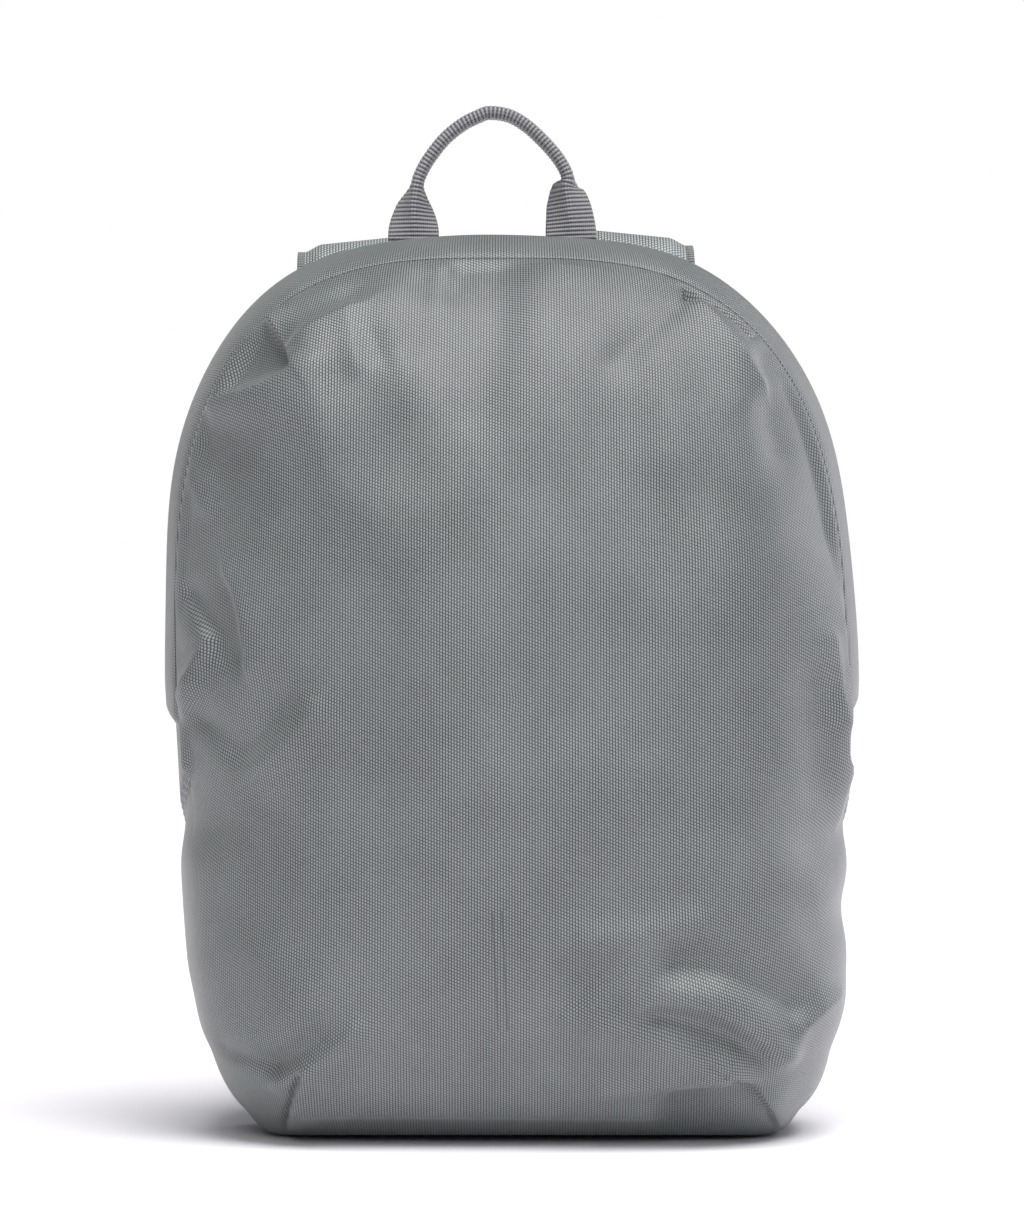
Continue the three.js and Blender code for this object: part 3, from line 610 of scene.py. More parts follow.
def twill(name, grey, roughness, bar=False):
    """Woven cloth with a satin face: painted shade between its raised dots and painted light on them,
    mottled, and with loose fibres.
    """
    nodes = Nodes(name)
    dots = twill_dots(nodes)
    tone = nodes.varied(dots, nodes.noise(26, 4), 0.3)
    tone = nodes.varied(tone, nodes.noise(900, 2), 0.25)
    tone = nodes.math("MULTIPLY_ADD", tone, 0.95, 0.03)
    # painted shade in the gaps between the raised dots and painted light on their tops, over the weave's
    # raised pattern
    colour = nodes.mix(tone, shade(grey * 0.08, COOL), shade(grey * 2.08, COOL))
    height = dots
    if bar:
        pressed = pressed_bar(nodes)
        height = nodes.math("MULTIPLY_ADD", pressed, -1.5, dots)
        # the pressed edges are darkened as well: painted shade in their creases
        colour = nodes.mix(nodes.math("MULTIPLY", pressed, 0.6), colour, shade(grey * 0.4, COOL))
    nodes.set(Base_Color=colour, Roughness=roughness, Normal=nodes.bump(height, TWILL_DEPTH))
    nodes.set(Sheen_Weight=0.22, Sheen_Roughness=0.4, Specular_IOR_Level=0.5)
    nodes.set(Coat_Weight=0.13, Coat_Roughness=0.4)
    return nodes.material


def pressed_bar(nodes):
    """1 on the two long edges of the slim plain bar pressed into the front, 0 elsewhere: there the cloth is
    sunk and darkened with painted shade.
    """
    middle, half = (-5 * MM, 77 * MM), (2 * MM, 26 * MM)
    blur = 0.5 * MM
    lean = 0.045
    u, v = nodes.uv()
    up = nodes.math("SUBTRACT", v, middle[1])
    leaning = nodes.math("MULTIPLY_ADD", up, lean, u)
    across = nodes.math("ABSOLUTE", nodes.math("SUBTRACT", leaning, middle[0]))
    from_edge = nodes.math("ABSOLUTE", nodes.math("SUBTRACT", across, half[0]))
    edge = nodes.math("MAXIMUM", nodes.math("SUBTRACT", 1.0, nodes.math("DIVIDE", from_edge, blur)), 0.0)
    ends = nodes.math("DIVIDE", nodes.math("SUBTRACT", half[1], nodes.math("ABSOLUTE", up)), blur)
    return nodes.math("MULTIPLY", edge, nodes.clamped(ends))


def air_mesh(name, grey):
    """Spacer mesh with rows of round holes, each row shifted by half a hole, the holes painted dark as
    painted shade.
    """
    nodes = Nodes(name)
    u, v = nodes.uv()
    rows = nodes.math("DIVIDE", v, MESH_PITCH * 0.86)
    odd = nodes.math("MODULO", nodes.math("ABSOLUTE", nodes.math("FLOOR", rows)), 2.0)
    columns = nodes.math("ADD", nodes.math("DIVIDE", u, MESH_PITCH), nodes.math("MULTIPLY", odd, 0.5))
    x = nodes.math("SUBTRACT", nodes.math("FRACT", columns), 0.5)
    y = nodes.math("SUBTRACT", nodes.math("FRACT", rows), 0.5)
    away = nodes.math("SQRT", nodes.math("ADD", nodes.math("MULTIPLY", x, x), nodes.math("MULTIPLY", y, y)))
    wall = nodes.clamped(nodes.math("MULTIPLY_ADD", away, 6.0, -1.2))
    tone = nodes.math("MULTIPLY", wall, nodes.math("MULTIPLY_ADD", nodes.noise(1200, 2), 0.5, 0.7))
    # darker in the holes: painted shade inside them; the mesh between them gets a random mottle
    nodes.set(Base_Color=nodes.mix(tone, shade(grey * 0.3, COOL), shade(grey * 1.2, COOL)), Roughness=0.8)
    nodes.set(Normal=nodes.bump(wall, 0.5 * MM))
    nodes.set(Sheen_Weight=0.3, Sheen_Roughness=0.5, Specular_IOR_Level=0.25)
    return nodes.material


def webbing(name, grey, tint=LILAC, pitch=RIB_PITCH):
    """Ribbed webbing: u runs across the width and v along the length; painted shade darkens its grooves and
    painted highlights lighten its ribs.
    """
    nodes = Nodes(name)
    u, v = nodes.uv()
    height = nodes.math("MULTIPLY_ADD", nodes.ridges(u, YARN_PITCH), 0.35, nodes.ridges(v, pitch))
    tone = nodes.math("MULTIPLY", height, nodes.math("MULTIPLY_ADD", nodes.noise(1500, 2), 0.6, 0.5))
    # near black in the grooves and far lighter on the ribs: painted shade and painted highlights, with a
    # random mottle
    nodes.set(Base_Color=nodes.mix(tone, shade(grey * 0.06, tint), shade(grey * 1.55, tint)), Roughness=0.5)
    nodes.set(Normal=nodes.bump(height, 0.35 * MM), Sheen_Weight=0.25, Sheen_Roughness=0.4)
    return nodes.material


def plain(name, colour, roughness, grain=400, sheen=0.0):
    """Moulded plastic or thread with a fine grain."""
    nodes = Nodes(name)
    grains = nodes.noise(grain, 3)
    dark = tuple(0.8 * channel for channel in colour[:3]) + (1.0,)
    nodes.set(Base_Color=nodes.mix(grains, dark, colour), Normal=nodes.bump(grains, 0.03 * MM))
    nodes.set(Roughness=roughness, Sheen_Weight=sheen)
    return nodes.material


SHELL_CLOTH = twill("shell_cloth", 0.15, roughness=0.34, bar=True)
# a little lighter than the shell's cloth: painted light, for the light on the hood's upward face
HOOD_CLOTH = twill("hood_cloth", 0.16, roughness=0.36)
# a lighter grey than the hood's cloth: painted light, standing in for the light from the right on the straps
# and their tabs
STRAP_CLOTH = twill("strap_cloth", 0.25, roughness=0.5)
BACK_MESH = air_mesh("back_mesh", 0.17)
HANDLE_WEB = webbing("handle_webbing", 0.19)
STRAP_WEB = webbing("strap_webbing", 0.2, pitch=1.4 * MM)
BINDING = webbing("edge_binding", 0.17, tint=COOL, pitch=1.2 * MM)
THREAD = plain("thread", shade(0.26, COOL), 0.6, sheen=0.2)
ZIP_TAPE = webbing("zip_tape", 0.09, tint=COOL, pitch=0.8 * MM)
ZIP_COIL = plain("zip_coil", shade(0.07, COOL), 0.4)
PLASTIC = plain("buckle_plastic", shade(0.085, COOL), 0.38, grain=900)


# Pieces of the bag


def crowded(first, last, count, crowds):
    """Values from first to last, closer together round each crowd of (place, reach, weight)."""
    fine = np.linspace(first, last, 4000)
    density = np.ones_like(fine)
    for place, reach, weight in crowds:
        density += weight * np.exp(-(((fine - place) / reach) ** 2))
    total = np.concatenate([[0], np.cumsum((density[1:] + density[:-1]) / 2)])
    return np.interp(np.linspace(0, total[-1], count), total, fine)


def add_shell():
    """The cloth tray with its folds, and the cut edge turned in along the back rim."""
    # finer where the folds are small
    crowds = [(132, 9, 2.2), (52, 9, 1.2), (308, 14, 1.2), (230, 8, 1.2), (175, 10, 0.6)]
    arounds = crowded(-20, 340, 600, crowds)[:-1][:, None]
    turns = crowded(-BACK_TURN, 88.5, 148, [(32, 9, 0.9)])[None, :]
    outer = cloth(arounds, turns)
    lip = np.array([[8, -2, -BACK_TURN]])
    inner = cloth(arounds, lip, -0.7 * WALL)
    points = np.concatenate([inner, outer], axis=1)
    uv = np.concatenate([weave_uv(arounds, lip), weave_uv(arounds, turns)], axis=1)
    tip = (cloth(0, TIP_TURN), np.array([lean_at(BELLY_HEIGHT), BELLY_HEIGHT]))
    mesh = grid_mesh("bag_front", points, uv, closed_rows=True, tip=tip)
    recalculate(mesh)
    add_object("bag_front", mesh, SHELL_CLOTH, ["front_shell"])


def add_hood():
    """The padded band over the arch, thinner at its seam with the front."""
    shares = np.linspace(0, 1, 420)[:, None]
    # turn and height round the band's section: its face, its rolled edge and its underside
    profile = [(-BACK_TURN, 0.1), (-BACK_TURN, 0.6), (-BACK_TURN + 0.8, 1.0)]
    profile += [(turn, 1.0) for turn in np.linspace(-8, HOOD_TURN - 5, 24)]
    for bend in np.linspace(0.15, 1.5, 9):
        profile.append((HOOD_TURN - 4 + 4 * math.sin(bend), 0.72 + 0.28 * math.cos(bend)))
    profile += [(HOOD_TURN - 0.05, 0.6), (HOOD_TURN - 0.2, 0.1), (HOOD_TURN / 2, 0.1), (0, 0.1)]
    turns = np.array([turn for turn, _ in profile])[None, :]
    heights = np.array([height for _, height in profile])[None, :]
    front = np.maximum(0, turns / HOOD_TURN)
    first = HOOD_ENDS[0] - HOOD_SLANT * front
    last = HOOD_ENDS[1] + HOOD_SLANT * front
    arounds = first + (last - first) * shares
    end_roll = np.minimum(1, np.minimum(shares, 1 - shares) * 160)
    lift = (GAP + HOOD_THICK) * heights * np.where(heights > 0.2, 0.25 + 0.75 * end_roll, 1)
    waves = 0.5 * MM * np.sin(arounds * 0.21 + 1) * np.sin(turns * 0.11) * (heights > 0.9)
    points = smooth_shell(arounds, turns) + smooth_normal(arounds, turns) * (lift + waves)[..., None]
    uv = np.empty(arounds.shape + (2,))
    for index in range(len(shares)):
        uv[index] = weave_uv(arounds[index][:, None], turns.T)[:, 0]
    uv = np.concatenate([uv, uv[:, :1]], axis=1)
    mesh = tube_mesh("hood_band", points, uv)
    piece = add_object("hood_band", mesh, HOOD_CLOTH, ["hood"])


def rim_point(around, inset, y):
    """A point on the back rim, moved inwards along the plane of the rim."""
    around, inset, y = np.broadcast_arrays(np.asarray(around, float), inset, y)
    here = smooth_shell(around, -BACK_TURN)
    run = smooth_shell(around + STEP, -BACK_TURN) - smooth_shell(around - STEP, -BACK_TURN)
    inwards = unit(np.stack([-run[..., 2], np.zeros_like(y), run[..., 0]], axis=-1))
    point = here + inwards * inset[..., None]
    point[..., 1] = y
    return point


def add_rim_strip(name, first, last, profile, material, slot, node):
    """A strip along the rim between two around angles, from a profile of (inset, y)."""
    arounds = np.linspace(first, last, 400)[:, None]
    insets = np.array([inset for inset, _ in profile])[None, :]
    ys = np.array([y for _, y in profile])[None, :]
    points = rim_point(arounds, insets, ys)
    uv = tube_uv(np.concatenate([insets[0], insets[0][:1]]), travel(points[:, 0]))
    add_object(name, tube_mesh(name, points, uv), material, [node])


def add_zip():
    """The closed zip: two woven tapes and the coil between them."""
    near, far = RIM_Y + GAP, RIM_Y + GAP + 1.0 * MM
    start, middle, lip = 0.6 * MM, 4.8 * MM, 0.9 * MM
    profile = [(start, near), (start, far), (middle - lip, far + 0.2 * MM), (middle, far - 0.4 * MM)]
    profile += [(middle + lip, far + 0.2 * MM), (ZIP_WIDTH, far), (ZIP_WIDTH, near)]
    add_rim_strip("zip_tapes", *HOOD_ENDS, profile, ZIP_TAPE, "webbing", "zip")
    fine = np.linspace(HOOD_ENDS[0] + 2, HOOD_ENDS[1] - 2, 900)
    line = rim_point(fine, middle, far + 0.35 * MM)
    travelled = travel(line)
    up = np.array([0, 1.0, 0])
    tooth_section = [(0, -0.5), (0.675, -0.2), (0.675, 0.35), (0, 0.75), (-0.675, 0.35), (-0.675, -0.2)]
    tooth_levels = [(-1.5, 0.5), (-1.1, 1), (0, 1.15), (1.1, 1), (1.5, 0.5)]
    vertices, faces = [], []
    for place in np.arange(TOOTH_PITCH, travelled[-1], TOOTH_PITCH):
        spot = place_on(line, travelled, place)
        run = unit(place_on(line, travelled, place + MM) - spot)
        side = np.cross(run, up)
        rings = [
            [spot + (side * reach + run * a * size + up * b * size) * MM for a, b in tooth_section]
            for reach, size in tooth_levels
        ]
        add_bead(vertices, faces, rings)
    add_object("zip_coil", beads_mesh("zip_coil", vertices, faces), ZIP_COIL)


def add_hinge_seam():
    """The bound seam that joins shell and back panel below the zip."""
    half, middle = ZIP_WIDTH / 2, RIM_Y + GAP + ZIP_THICK / 2
    turns = np.linspace(0, 2 * math.pi, 17)[:-1]
    profile = [(half + (half - 0.5 * MM) * math.cos(t), middle + ZIP_THICK / 2 * math.sin(t)) for t in turns]
    first, last = HOOD_ENDS[1] + 0.15, 360 + HOOD_ENDS[0] - 0.15
    add_rim_strip("hinge_binding", first, last, profile, BINDING, "shell_cloth", "hinge_seam")


def add_back_panel():
    """The padded panel: spacer mesh with a sewn channel pattern and a rolled edge."""
    arounds = np.linspace(0, 360, 361)[:-1][:, None]
    inset = ZIP_WIDTH + GAP
    middle = np.array([lean_at(BELLY_HEIGHT), 0, BELLY_HEIGHT])
    edge = [rim_point(arounds[:, 0], inset, y) for y in (RIM_Y - 2 * MM, RIM_Y + PANEL_EDGE)]
    shares = 1 - np.linspace(0, 1, 74)[:-1] ** 1.15
    rim = rim_point(arounds[:, 0], inset, RIM_Y)
    face = middle + (rim[:, None, :] - middle) * shares[None, :, None]
    depth = np.linalg.norm(rim[:, None, :] - face, axis=-1)
    roll = np.sqrt(1 - (1 - np.clip(depth / PANEL_ROLL, 0, 1)) ** 2)
    x, z = face[..., 0] - lean_at(face[..., 2]), face[..., 2]
    sunk = SPINE_DEPTH * np.exp(-((x / SPINE_WIDTH) ** 4))
    for line_x in (-CHANNEL_X, CHANNEL_X):
        sunk = sunk + CHANNEL_DEPTH * np.exp(-(((x - line_x) / CHANNEL_WIDTH) ** 2))
    beside_spine = smooth((np.abs(x) - CHANNEL_X) / (4 * MM))
    for line_z in CROSS_CHANNELS:
        sunk = sunk + CROSS_DEPTH * np.exp(-(((z - line_z) / CHANNEL_WIDTH) ** 2)) * beside_spine
    face[..., 1] = RIM_Y + PANEL_EDGE + (PANEL_THICK - PANEL_EDGE - sunk) * roll
    points = np.concatenate([np.stack(edge, axis=1), face], axis=1)
    uv = points[..., [0, 2]].copy()
    uv[:, 0] += (uv[:, 1] - uv[:, 3]) * 1.5  # the mesh goes on over the panel's edge
    tip_point = middle.copy()
    tip_point[1] = RIM_Y + PANEL_THICK - SPINE_DEPTH
    mesh = grid_mesh("back_pad", points, uv, closed_rows=True, tip=(tip_point, middle[[0, 2]]))
    recalculate(mesh)
    faces_wearer = sum(polygon.normal.y * polygon.area for polygon in mesh.polygons) > 0
    if not faces_wearer:
        mesh.flip_normals()
    piece = add_object("back_pad", mesh, BACK_MESH, ["back_panel"])


def spline(values, shares):
    """Catmull-Rom values at shares from 0 to 1 through rows of values."""
    values = np.asarray(values, float)
    padded = np.vstack([2 * values[0] - values[1], values, 2 * values[-1] - values[-2]])
    knots = travel(values[:, :3])
    place = np.asarray(shares) * knots[-1]
    k = np.clip(np.searchsorted(knots, place, side="right") - 1, 0, len(values) - 2)
    t = ((place - knots[k]) / (knots[k + 1] - knots[k]))[:, None]
    a, b, c, d = padded[k], padded[k + 1], padded[k + 2], padded[k + 3]
    return 0.5 * (2 * b + (c - a) * t + (2 * a - 5 * b + 4 * c - d) * t**2 + (3 * b - a - 3 * c + d) * t**3)


HANDLE_ROUTE = [  # across, up, open
    (-0.517, 0, 1), (-0.517, 0.11, 0.77), (-0.514, 0.235, 0.48),
    (-0.505, 0.335, 0.19), (-0.495, 0.41, 0.02), (-0.478, 0.48, 0),
    (-0.428, 0.594, 0), (-0.327, 0.753, 0), (-0.213, 0.868, 0),
    (-0.106, 0.935, 0), (-0.034, 0.962, 0), (0.087, 0.94, 0),
    (0.194, 0.868, 0), (0.298, 0.755, 0), (0.388, 0.634, 0),
    (0.444, 0.526, 0), (0.462, 0.455, 0.04), (0.455, 0.382, 0.36),
    (0.465, 0.27, 0.62), (0.477, 0.13, 0.8), (0.483, 0, 1),
]


def folded_section(u, bend):
    """The folded webbing's section: sideways and backward place of u, and its normal."""
    curve = FOLD_RADIUS * bend
    size = np.abs(u)
    turned = np.where(curve > 1e-7, np.minimum(size / np.maximum(curve, 1e-7), 1) * bend, bend)
    straight = size - np.minimum(size, curve)
    side = FOLD_RADIUS * np.sin(turned) * (bend > 1e-6) + straight * np.cos(bend)
    back = FOLD_RADIUS * (1 - np.cos(turned)) * (bend > 1e-6) + straight * np.sin(bend)
    way = np.sign(u)
    return way * side, back, -way * np.sin(turned), np.cos(turned)


def add_handle():
    """The grab handle: ribbed webbing, flat at its feet and folded double in the grip."""
    crown = BODY_HEIGHT + HOOD_THICK + GAP
    rows = []
    for across, up, spread in HANDLE_ROUTE:
        x = lean_at(crown) + TOP_SHIFT + across * HANDLE_SPAN
        rows.append((x, HANDLE_Y, crown + up * HANDLE_RISE, spread))
    low = crown - HANDLE_FOOT_SINK
    rows = [(rows[0][0], HANDLE_Y, low, 1)] + rows + [(rows[-1][0], HANDLE_Y, low, 1)]
    route = spline(rows, np.linspace(0, 1, 760))
    line, spread = route[:, :3], np.clip(route[:, 3], 0, 1)
    travelled = travel(line)
    ahead = unit(np.gradient(line, axis=0))
    back = np.tile((0.0, 1.0, 0.0), (len(line), 1))
    side = unit(np.cross(back, ahead))
    rib = np.abs(np.sin(math.pi * travelled / RIB_PITCH))
    us = np.linspace(-1, 1, 27)
    edge = np.sqrt(np.clip(1 - (np.clip(np.abs(us) - 0.9, 0, 1) / 0.1) ** 2, 0, 1))
    bend = (math.pi / 2) * (1 - spread)[:, None]
    across, behind, normal_across, normal_behind = folded_section(us[None, :] * HANDLE_WEBBING / 2, bend)
    ribbed = HANDLE_THICK - RIB_HEIGHT + 2 * RIB_HEIGHT * rib[:, None]
    layers = []
    for way in (1, -1):
        reach = way * ribbed * np.maximum(edge[None, :], 0.25) / 2
        outer = across + reach * normal_across, behind + reach * normal_behind
        layers.append(sections(line, side, back, *outer))
    points = np.concatenate([layers[0], layers[1][:, ::-1]], axis=1)
    round_section = np.concatenate([us, 2 - us[::-1], [3]]) * HANDLE_WEBBING / 2
    mesh = tube_mesh("carry_handle", points, tube_uv(round_section, travelled))
    add_object("carry_handle", mesh, HANDLE_WEB, ["grab_handle"])


def strap_rows(side):
    """Stations of a shoulder strap: x, y, z, width, thickness and sideways slope."""
    seam_y = PANEL_FACE + GAP + STRAP_EDGE / 2
    hang_y = PANEL_FACE + ARM_GAP + STRAP_THICK / 2
    bend = (hang_y - seam_y) / 2
    rows = [
        (seam_y, STRAP_TOP - 46 * MM, STRAP_EDGE),
        (seam_y + 1.5 * MM, STRAP_TOP - 32 * MM, STRAP_THICK * 0.6),
        (seam_y + 3 * MM, STRAP_TOP - 20 * MM, STRAP_THICK * 0.8),
    ]
    for turn in np.linspace(160, 20, 6):
        y = seam_y + 1.4 * MM + bend * (1 + 0.86 * math.cos(turn * RAD))
        rows.append((y, STRAP_TOP - 14 * MM + 14 * MM * math.sin(turn * RAD), STRAP_THICK))
    rows += [
        (hang_y, STRAP_TOP - 34 * MM, STRAP_THICK),
        (hang_y + 2 * MM, STRAP_TOP - 80 * MM, STRAP_THICK),
        (hang_y + 2 * MM, STRAP_TOP - 135 * MM, STRAP_THICK),
        (hang_y, STRAP_END_HEIGHT + 42 * MM, STRAP_THICK),
        (hang_y - 3 * MM, STRAP_END_HEIGHT + 14 * MM, STRAP_THICK),
        (hang_y - 4.8 * MM, STRAP_END_HEIGHT, STRAP_EDGE),
    ]
    stations = []
    for y, z, thick in rows:
        down = (STRAP_TOP - z) / (STRAP_TOP - STRAP_END_HEIGHT)
        spread = STRAP_SPREAD + 10 * MM * down * down
        narrow = 1 - 0.38 * smooth((down - 0.45) / 0.5)
        x = lean_at(z) + TOP_SHIFT + side * spread
        tilt = STRAP_TILT if z > STRAP_TOP - STRAP_WIDTH / 4 else 0
        stations.append((x, y, z + LEAN * side * spread, STRAP_WIDTH * narrow, thick, -side * tilt))
    return stations


def sweep(name, rows, half_section, material, replaces=(), count=220, side_way=(1.0, 0, 0)):
    """A closed band swept along rows of x, y, z, width, thickness and, if given, sideways slope.

    half_section lists (across, height) from one edge to the other; height is a share of the
    half thickness. side_way fixes the direction of the width.
    """
    route = spline(rows, np.linspace(0, 1, count))
    line, width, thick = route[:, :3], route[:, 3], route[:, 4]
    ahead = unit(np.gradient(line, axis=0))
    side = np.tile(side_way, (count, 1))
    if route.shape[1] > 5:
        side[:, 2] += route[:, 5]
    side = unit(side - ahead * np.sum(side * ahead, axis=1, keepdims=True))
    face = np.cross(ahead, side)
    across = np.array([a for a, _ in half_section])
    height = np.array([h for _, h in half_section])
    reach = across[None, :] * width[:, None] / 2
    rise = height[None, :] * thick[:, None] / 2
    layers = [sections(line, side, face, reach, way * rise) for way in (1, -1)]
    points = np.concatenate([layers[0], layers[1][:, ::-1]], axis=1)
    round_section = np.concatenate([across, 2 - across[::-1], [3]]) * float(width.mean()) / 2
    mesh = tube_mesh(name, points, tube_uv(round_section, travel(line)))
    piece = add_object(name, mesh, material, replaces)
    return piece, line, side, face, width, thick


def strap_end(side):
    """The frame at a strap's end: its place, and the directions down, across and out."""
    x, y, z = strap_rows(side)[-1][:3]
    end = np.array([x, y, z])
    down = unit(anchor_face(side) - end)
    across = unit(np.array([1.0, 0, 0]) - down * down[0])
    out = unit(np.cross(down, across))
    return end, down, across, out


def anchor_face(side):
    """Where the webbing's middle line leaves its tab."""
    z = ANCHOR_LOW + ANCHOR_HEIGHT * 0.75
    y = PANEL_FACE + GAP + ANCHOR_THICK + 3 * GAP + WEBBING_THICK / 2
    return np.array([lean_at(z) + side * ANCHOR_SPREAD, y, z])


LOOP_RADIUS = LOCK_THICK / 2 + 2 * GAP + WEBBING_THICK / 2
LOCK_HEIGHT = 3 * LOCK_BAR + 2 * LOCK_SLOT
LOCK_MIDDLE = LOCK_HEIGHT / 2 + LOOP_RADIUS + 2 * MM
FLAT_SECTION = [(-1, 0.35), (-0.97, 0.85), (-0.9, 1), (0, 1), (0.9, 1), (0.97, 0.85), (1, 0.35)]


def half_turn(middle, first, last):
    """Places on a squarish half turn round a bar of the buckle, as (down, out)."""
    reach = LOCK_BAR / 2 + 2.5 * GAP + WEBBING_THICK / 2
    places = []
    for turn in np.linspace(first, last, 9) * RAD:
        square_sin = math.copysign(abs(math.sin(turn)) ** 0.667, math.sin(turn))
        square_cos = math.copysign(abs(math.cos(turn)) ** 0.667, math.cos(turn))
        places.append((middle + reach * square_sin, -LOOP_RADIUS * square_cos))
    return places


def pad_section():
    """Section of a padded strap: full in the middle, pressed flat under the edge binding."""
    section = []
    for share in np.linspace(-1, 1, 41):
        inside = smooth((0.93 - abs(share)) / 0.3)
        height = STRAP_EDGE / STRAP_THICK + (1 - STRAP_EDGE / STRAP_THICK) * inside
        if abs(share) > 0.985:
            height *= 0.55
        section.append((share, height))
    return section


def add_strap(name, side):
    """A padded strap with bound edges, stitches along both faces and the sewn buckle loop."""
    rows = strap_rows(side)
    pad, line, across, face, width, thick = sweep(
        f"shoulder_pad_{name}", rows, pad_section(), STRAP_CLOTH, [f"shoulder_strap_{name}"]
    )
    for way in (-1, 1):
        edge = line + across * way * (width / 2 - BINDING_INSET)[:, None]
        binding = [
            (*place, BINDING_WIDTH, min(t, STRAP_EDGE) + BINDING_PROUD) for place, t in zip(edge, thick)
        ][2:-2:6]
        label = "outer" if way == side else "inner"
        sweep(f"strap_binding_{name}_{label}", binding, FLAT_SECTION, BINDING, count=160)
    lines = []
    for way in (-1, 1):
        for front in (-1, 1):
            reach = (width / 2 - STITCH_INSET)[:, None] * way
            proud = (np.minimum(thick, STRAP_EDGE) / 2 + STITCH_PROUD)[:, None] * front
            lines.append(((line + across * reach + face * proud)[6:-6], (face * front)[6:-6]))
    add_stitches(f"strap_stitches_{name}", lines)
    end, down, wide, out = strap_end(side)
    top_bar = LOCK_MIDDLE - LOCK_BAR - LOCK_SLOT
    places = [(-6 * MM, -LOOP_RADIUS * 0.5)] + half_turn(top_bar, 0, 180) + [(-6 * MM, LOOP_RADIUS * 0.5)]
    loop = [tuple(end + down * d + out * o) + (WEBBING_WIDTH - 1 * MM, WEBBING_THICK) for d, o in places]
    sweep(f"buckle_loop_{name}", loop, FLAT_SECTION, STRAP_WEB, side_way=tuple(wide))


def add_strap_webbing(name, side):
    """The adjusting webbing, from its tab round the buckle to its hanging tail."""
    end, down, wide, out = strap_end(side)
    low_bar = LOCK_MIDDLE + LOCK_BAR + LOCK_SLOT
    size = (WEBBING_WIDTH, WEBBING_THICK)
    face = anchor_face(side)
    rows = [tuple(face + (0, 0, rise)) + size for rise in (-ANCHOR_HEIGHT * 0.5, -2 * MM)]
    threaded = [(low_bar + 30 * MM, -LOOP_RADIUS)] + half_turn(low_bar, 0, -180)
    threaded += [(low_bar + 16 * MM, LOOP_RADIUS + 1 * MM), (low_bar + 50 * MM, LOOP_RADIUS + 2.5 * MM)]
    rows += [tuple(end + down * d + out * o) + size for d, o in threaded]
    nodes = [f"strap_webbing_{name}"]
    sweep(f"adjuster_{name}", rows, FLAT_SECTION, STRAP_WEB, nodes, 320, tuple(wide))


def outline_curve(name, outer, holes, half_depth, bevel):
    """A bevelled plate from closed 2D outlines, as a mesh centred on its own plane."""
    curve = bpy.data.curves.new(name, "CURVE")
    curve.dimensions = "2D"
    curve.fill_mode = "BOTH"
    curve.extrude = half_depth - bevel
    curve.bevel_depth = bevel
    curve.bevel_resolution = 3
    curve.offset = -bevel
    for points in [outer, *holes]:
        line = curve.splines.new("POLY")
        line.points.add(len(points) - 1)
        for point, (x, y) in zip(line.points, points):
            point.co = (x, y, 0, 1)
        line.use_cyclic_u = True
    holder = bpy.data.objects.new(name, curve)
    mesh = bpy.data.meshes.new_from_object(holder)
    bpy.data.objects.remove(holder)
    mesh.name = name
    mesh.uv_layers.new(name=UV_NAME)
    mesh.polygons.foreach_set("use_smooth", [True] * len(mesh.polygons))
    mesh.set_sharp_from_angle(angle=0.7)
    return mesh


def rounded_rectangle(width, height, corner, middle=0.0):
    """Outline of a rectangle with rounded corners, its centre at a height of middle."""
    points = []
    for index, (sx, sy) in enumerate(((1, 1), (-1, 1), (-1, -1), (1, -1))):
        for turn in np.linspace(index * 90, index * 90 + 90, 6) * RAD:
            x = sx * (width / 2 - corner) + corner * math.cos(turn)
            y = sy * (height / 2 - corner) + corner * math.sin(turn)
            points.append((x, y + middle))
    return points


def add_ladder_lock(name, side):
    """The plain three-bar buckle, with eased edges."""
    end, down, wide, out = strap_end(side)
    outer = rounded_rectangle(LOCK_WIDTH, LOCK_HEIGHT, 3 * MM)
    offset = (LOCK_BAR + LOCK_SLOT) / 2
    slot_width = WEBBING_WIDTH + 2 * MM
    holes = [rounded_rectangle(slot_width, LOCK_SLOT, 1 * MM, way * offset)[::-1] for way in (-1, 1)]
    mesh = outline_curve(f"buckle_{name}", outer, holes, LOCK_THICK / 2, 0.9 * MM)
    place = Matrix((wide, -down, out)).transposed().to_4x4()
    place.translation = Vector(end + down * LOCK_MIDDLE)
    mesh.transform(place)
    add_object(f"buckle_{name}", mesh, PLASTIC, [f"ladder_lock_{name}"])


def add_anchor_tab(name, side):
    """The sewn cloth tab under the foot of the webbing."""
    w, h = ANCHOR_WIDTH / 2, ANCHOR_HEIGHT
    outer = [(-w, 0), (w, 0), (w * 0.8, h), (-w * 0.8, h)]
    mesh = outline_curve(f"webbing_tab_{name}", outer, [], ANCHOR_THICK / 2, 0.8 * MM)
    middle = lean_at(ANCHOR_LOW) + side * ANCHOR_SPREAD
    y = PANEL_FACE + GAP + ANCHOR_THICK / 2
    mesh.transform(Matrix.Translation((middle, y, ANCHOR_LOW)) @ Matrix.Rotation(math.pi / 2, 4, "X"))
    for loop in mesh.loops:
        corner = mesh.vertices[loop.vertex_index].co
        mesh.uv_layers[UV_NAME].data[loop.index].uv = (corner.x, corner.z)
    add_object(f"webbing_tab_{name}", mesh, STRAP_CLOTH, [f"anchor_tab_{name}"])
    back = y + ANCHOR_THICK / 2 + 0.1 * MM
    inset = 3 * MM
    corners = [(-w + inset, inset), (w - inset, inset)]
    corners += [(w * 0.8 - inset, h - inset), (-w * 0.8 + inset, h - inset), corners[0]]
    line = np.array([(middle + x, back, ANCHOR_LOW + z) for x, z in corners])
    add_stitches(f"tab_stitches_{name}", [(line, np.tile((0.0, 1.0, 0.0), (len(line), 1)))])


add_shell()
add_hood()
add_zip()
add_hinge_seam()
add_back_panel()
add_handle()
for side_name, side_way in (("left", -1), ("right", 1)):
    add_strap(side_name, side_way)
    add_strap_webbing(side_name, side_way)
    add_ladder_lock(side_name, side_way)
    add_anchor_tab(side_name, side_way)


# Floor, light and camera


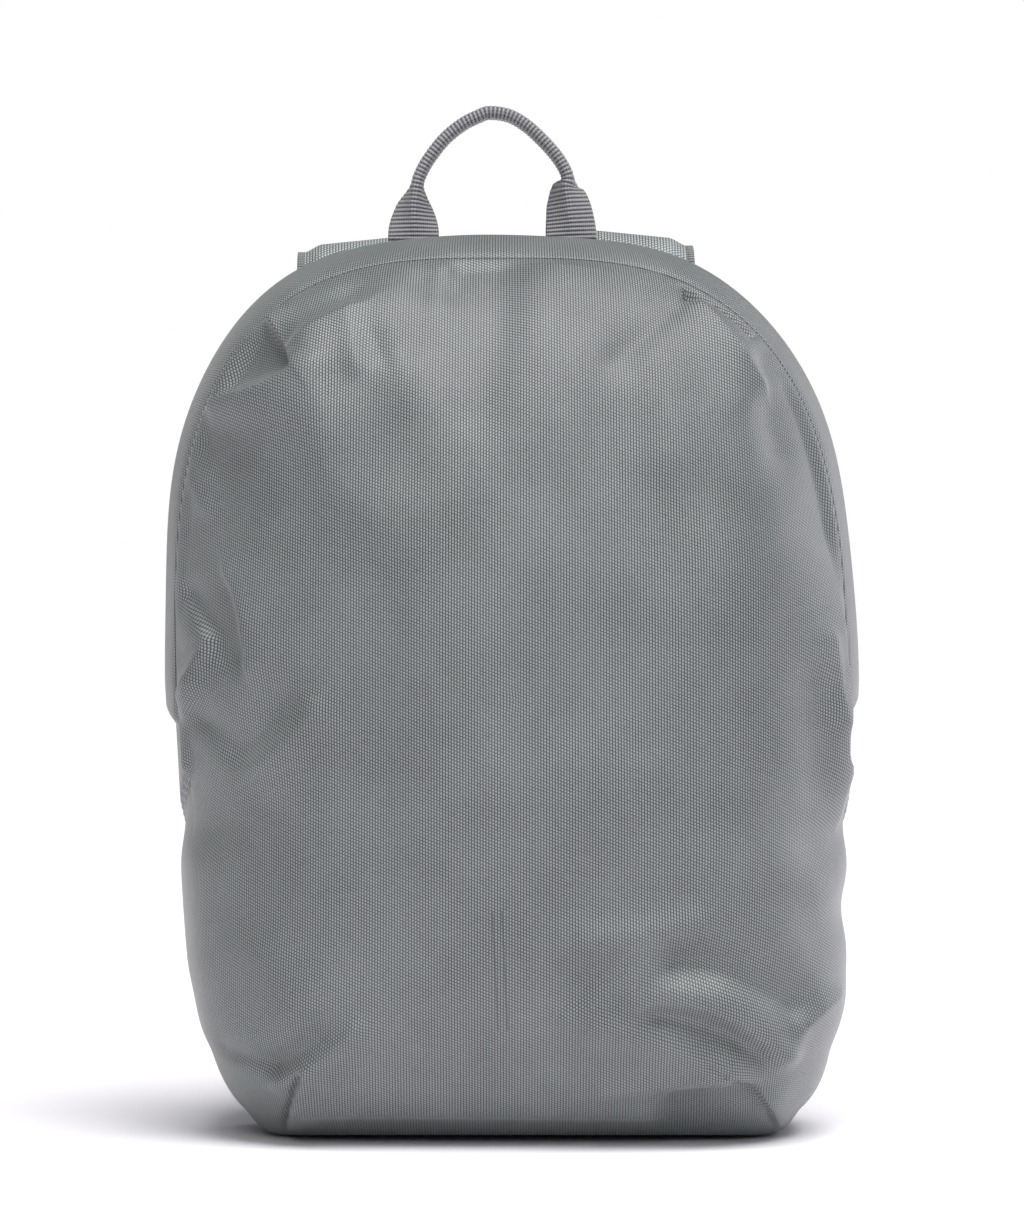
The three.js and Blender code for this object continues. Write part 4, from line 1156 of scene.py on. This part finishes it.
def add_floor():
    mesh = bpy.data.meshes.new("floor")
    reach = 12.0
    corners = [(-reach, -reach, 0), (reach, -reach, 0), (reach, reach, 0), (-reach, reach, 0)]
    mesh.from_pydata(corners, [], [(0, 1, 2, 3)])
    floor = place_in_scene("floor", mesh)
    nodes = Nodes("floor_paint")
    nodes.set(Base_Color=(0.93, 0.92, 0.95, 1), Roughness=0.7, Specular_IOR_Level=0.2)
    mesh.materials.append(nodes.material)


def add_area_light(name, place, target, size, power, colour=(1, 1, 1)):
    light = bpy.data.lights.new(name, "AREA")
    light.shape = "RECTANGLE"
    light.size, light.size_y = size
    light.energy = power
    light.color = colour
    lamp = place_in_scene(name, light)
    lamp.location = place
    lamp.rotation_euler = (Vector(target) - Vector(place)).to_track_quat("-Z", "Y").to_euler()


def add_world():
    """A white backdrop for the camera, and a dimmer white room for everything else."""
    world = bpy.data.worlds.new("studio")
    world.use_nodes = True
    tree = world.node_tree
    room = tree.nodes["Background"]
    room.inputs["Color"].default_value = (1, 1, 1, 1)
    room.inputs["Strength"].default_value = ROOM_LIGHT
    backdrop = tree.nodes.new("ShaderNodeBackground")
    backdrop.inputs["Color"].default_value = (1, 1, 1, 1)
    seen = tree.nodes.new("ShaderNodeLightPath")
    mix = tree.nodes.new("ShaderNodeMixShader")
    tree.links.new(seen.outputs["Is Camera Ray"], mix.inputs[0])
    tree.links.new(room.outputs[0], mix.inputs[1])
    tree.links.new(backdrop.outputs[0], mix.inputs[2])
    tree.links.new(mix.outputs[0], tree.nodes["World Output"].inputs["Surface"])
    bpy.context.scene.world = world


def add_overhead():
    """The ceiling softbox, far enough away to be even over the whole floor."""
    light = bpy.data.lights.new("overhead", "SUN")
    light.energy = OVERHEAD_LIGHT
    light.angle = 40 * RAD
    light.color = (1.0, 0.99, 1.0)
    lamp = place_in_scene("overhead", light)
    lamp.rotation_euler = Vector(OVERHEAD_AIM).to_track_quat("-Z", "Y").to_euler()


def add_camera():
    camera = bpy.data.cameras.new("camera")
    camera.sensor_width = SENSOR
    camera.lens = SENSOR * CAMERA_DISTANCE / FRAME_HEIGHT
    camera.clip_end = 100
    holder = place_in_scene("camera", camera)
    holder.location = (0, WIDEST_Y - CAMERA_DISTANCE, CAMERA_HEIGHT)
    holder.rotation_euler = (math.pi / 2, 0, 0)
    bpy.context.scene.camera = holder


add_floor()
add_world()
centre = (0, 0, BODY_HEIGHT / 2)
add_overhead()
add_area_light("front strip", (-0.3, -2.0, 1.45), centre, (0.3, 1.3), 15)
add_area_light("right panel", (1.5, 1.0, 0.7), centre, (0.6, 1.4), 8, (0.93, 0.9, 1.0))
add_camera()
bpy.context.scene.view_settings.view_transform = "Standard"
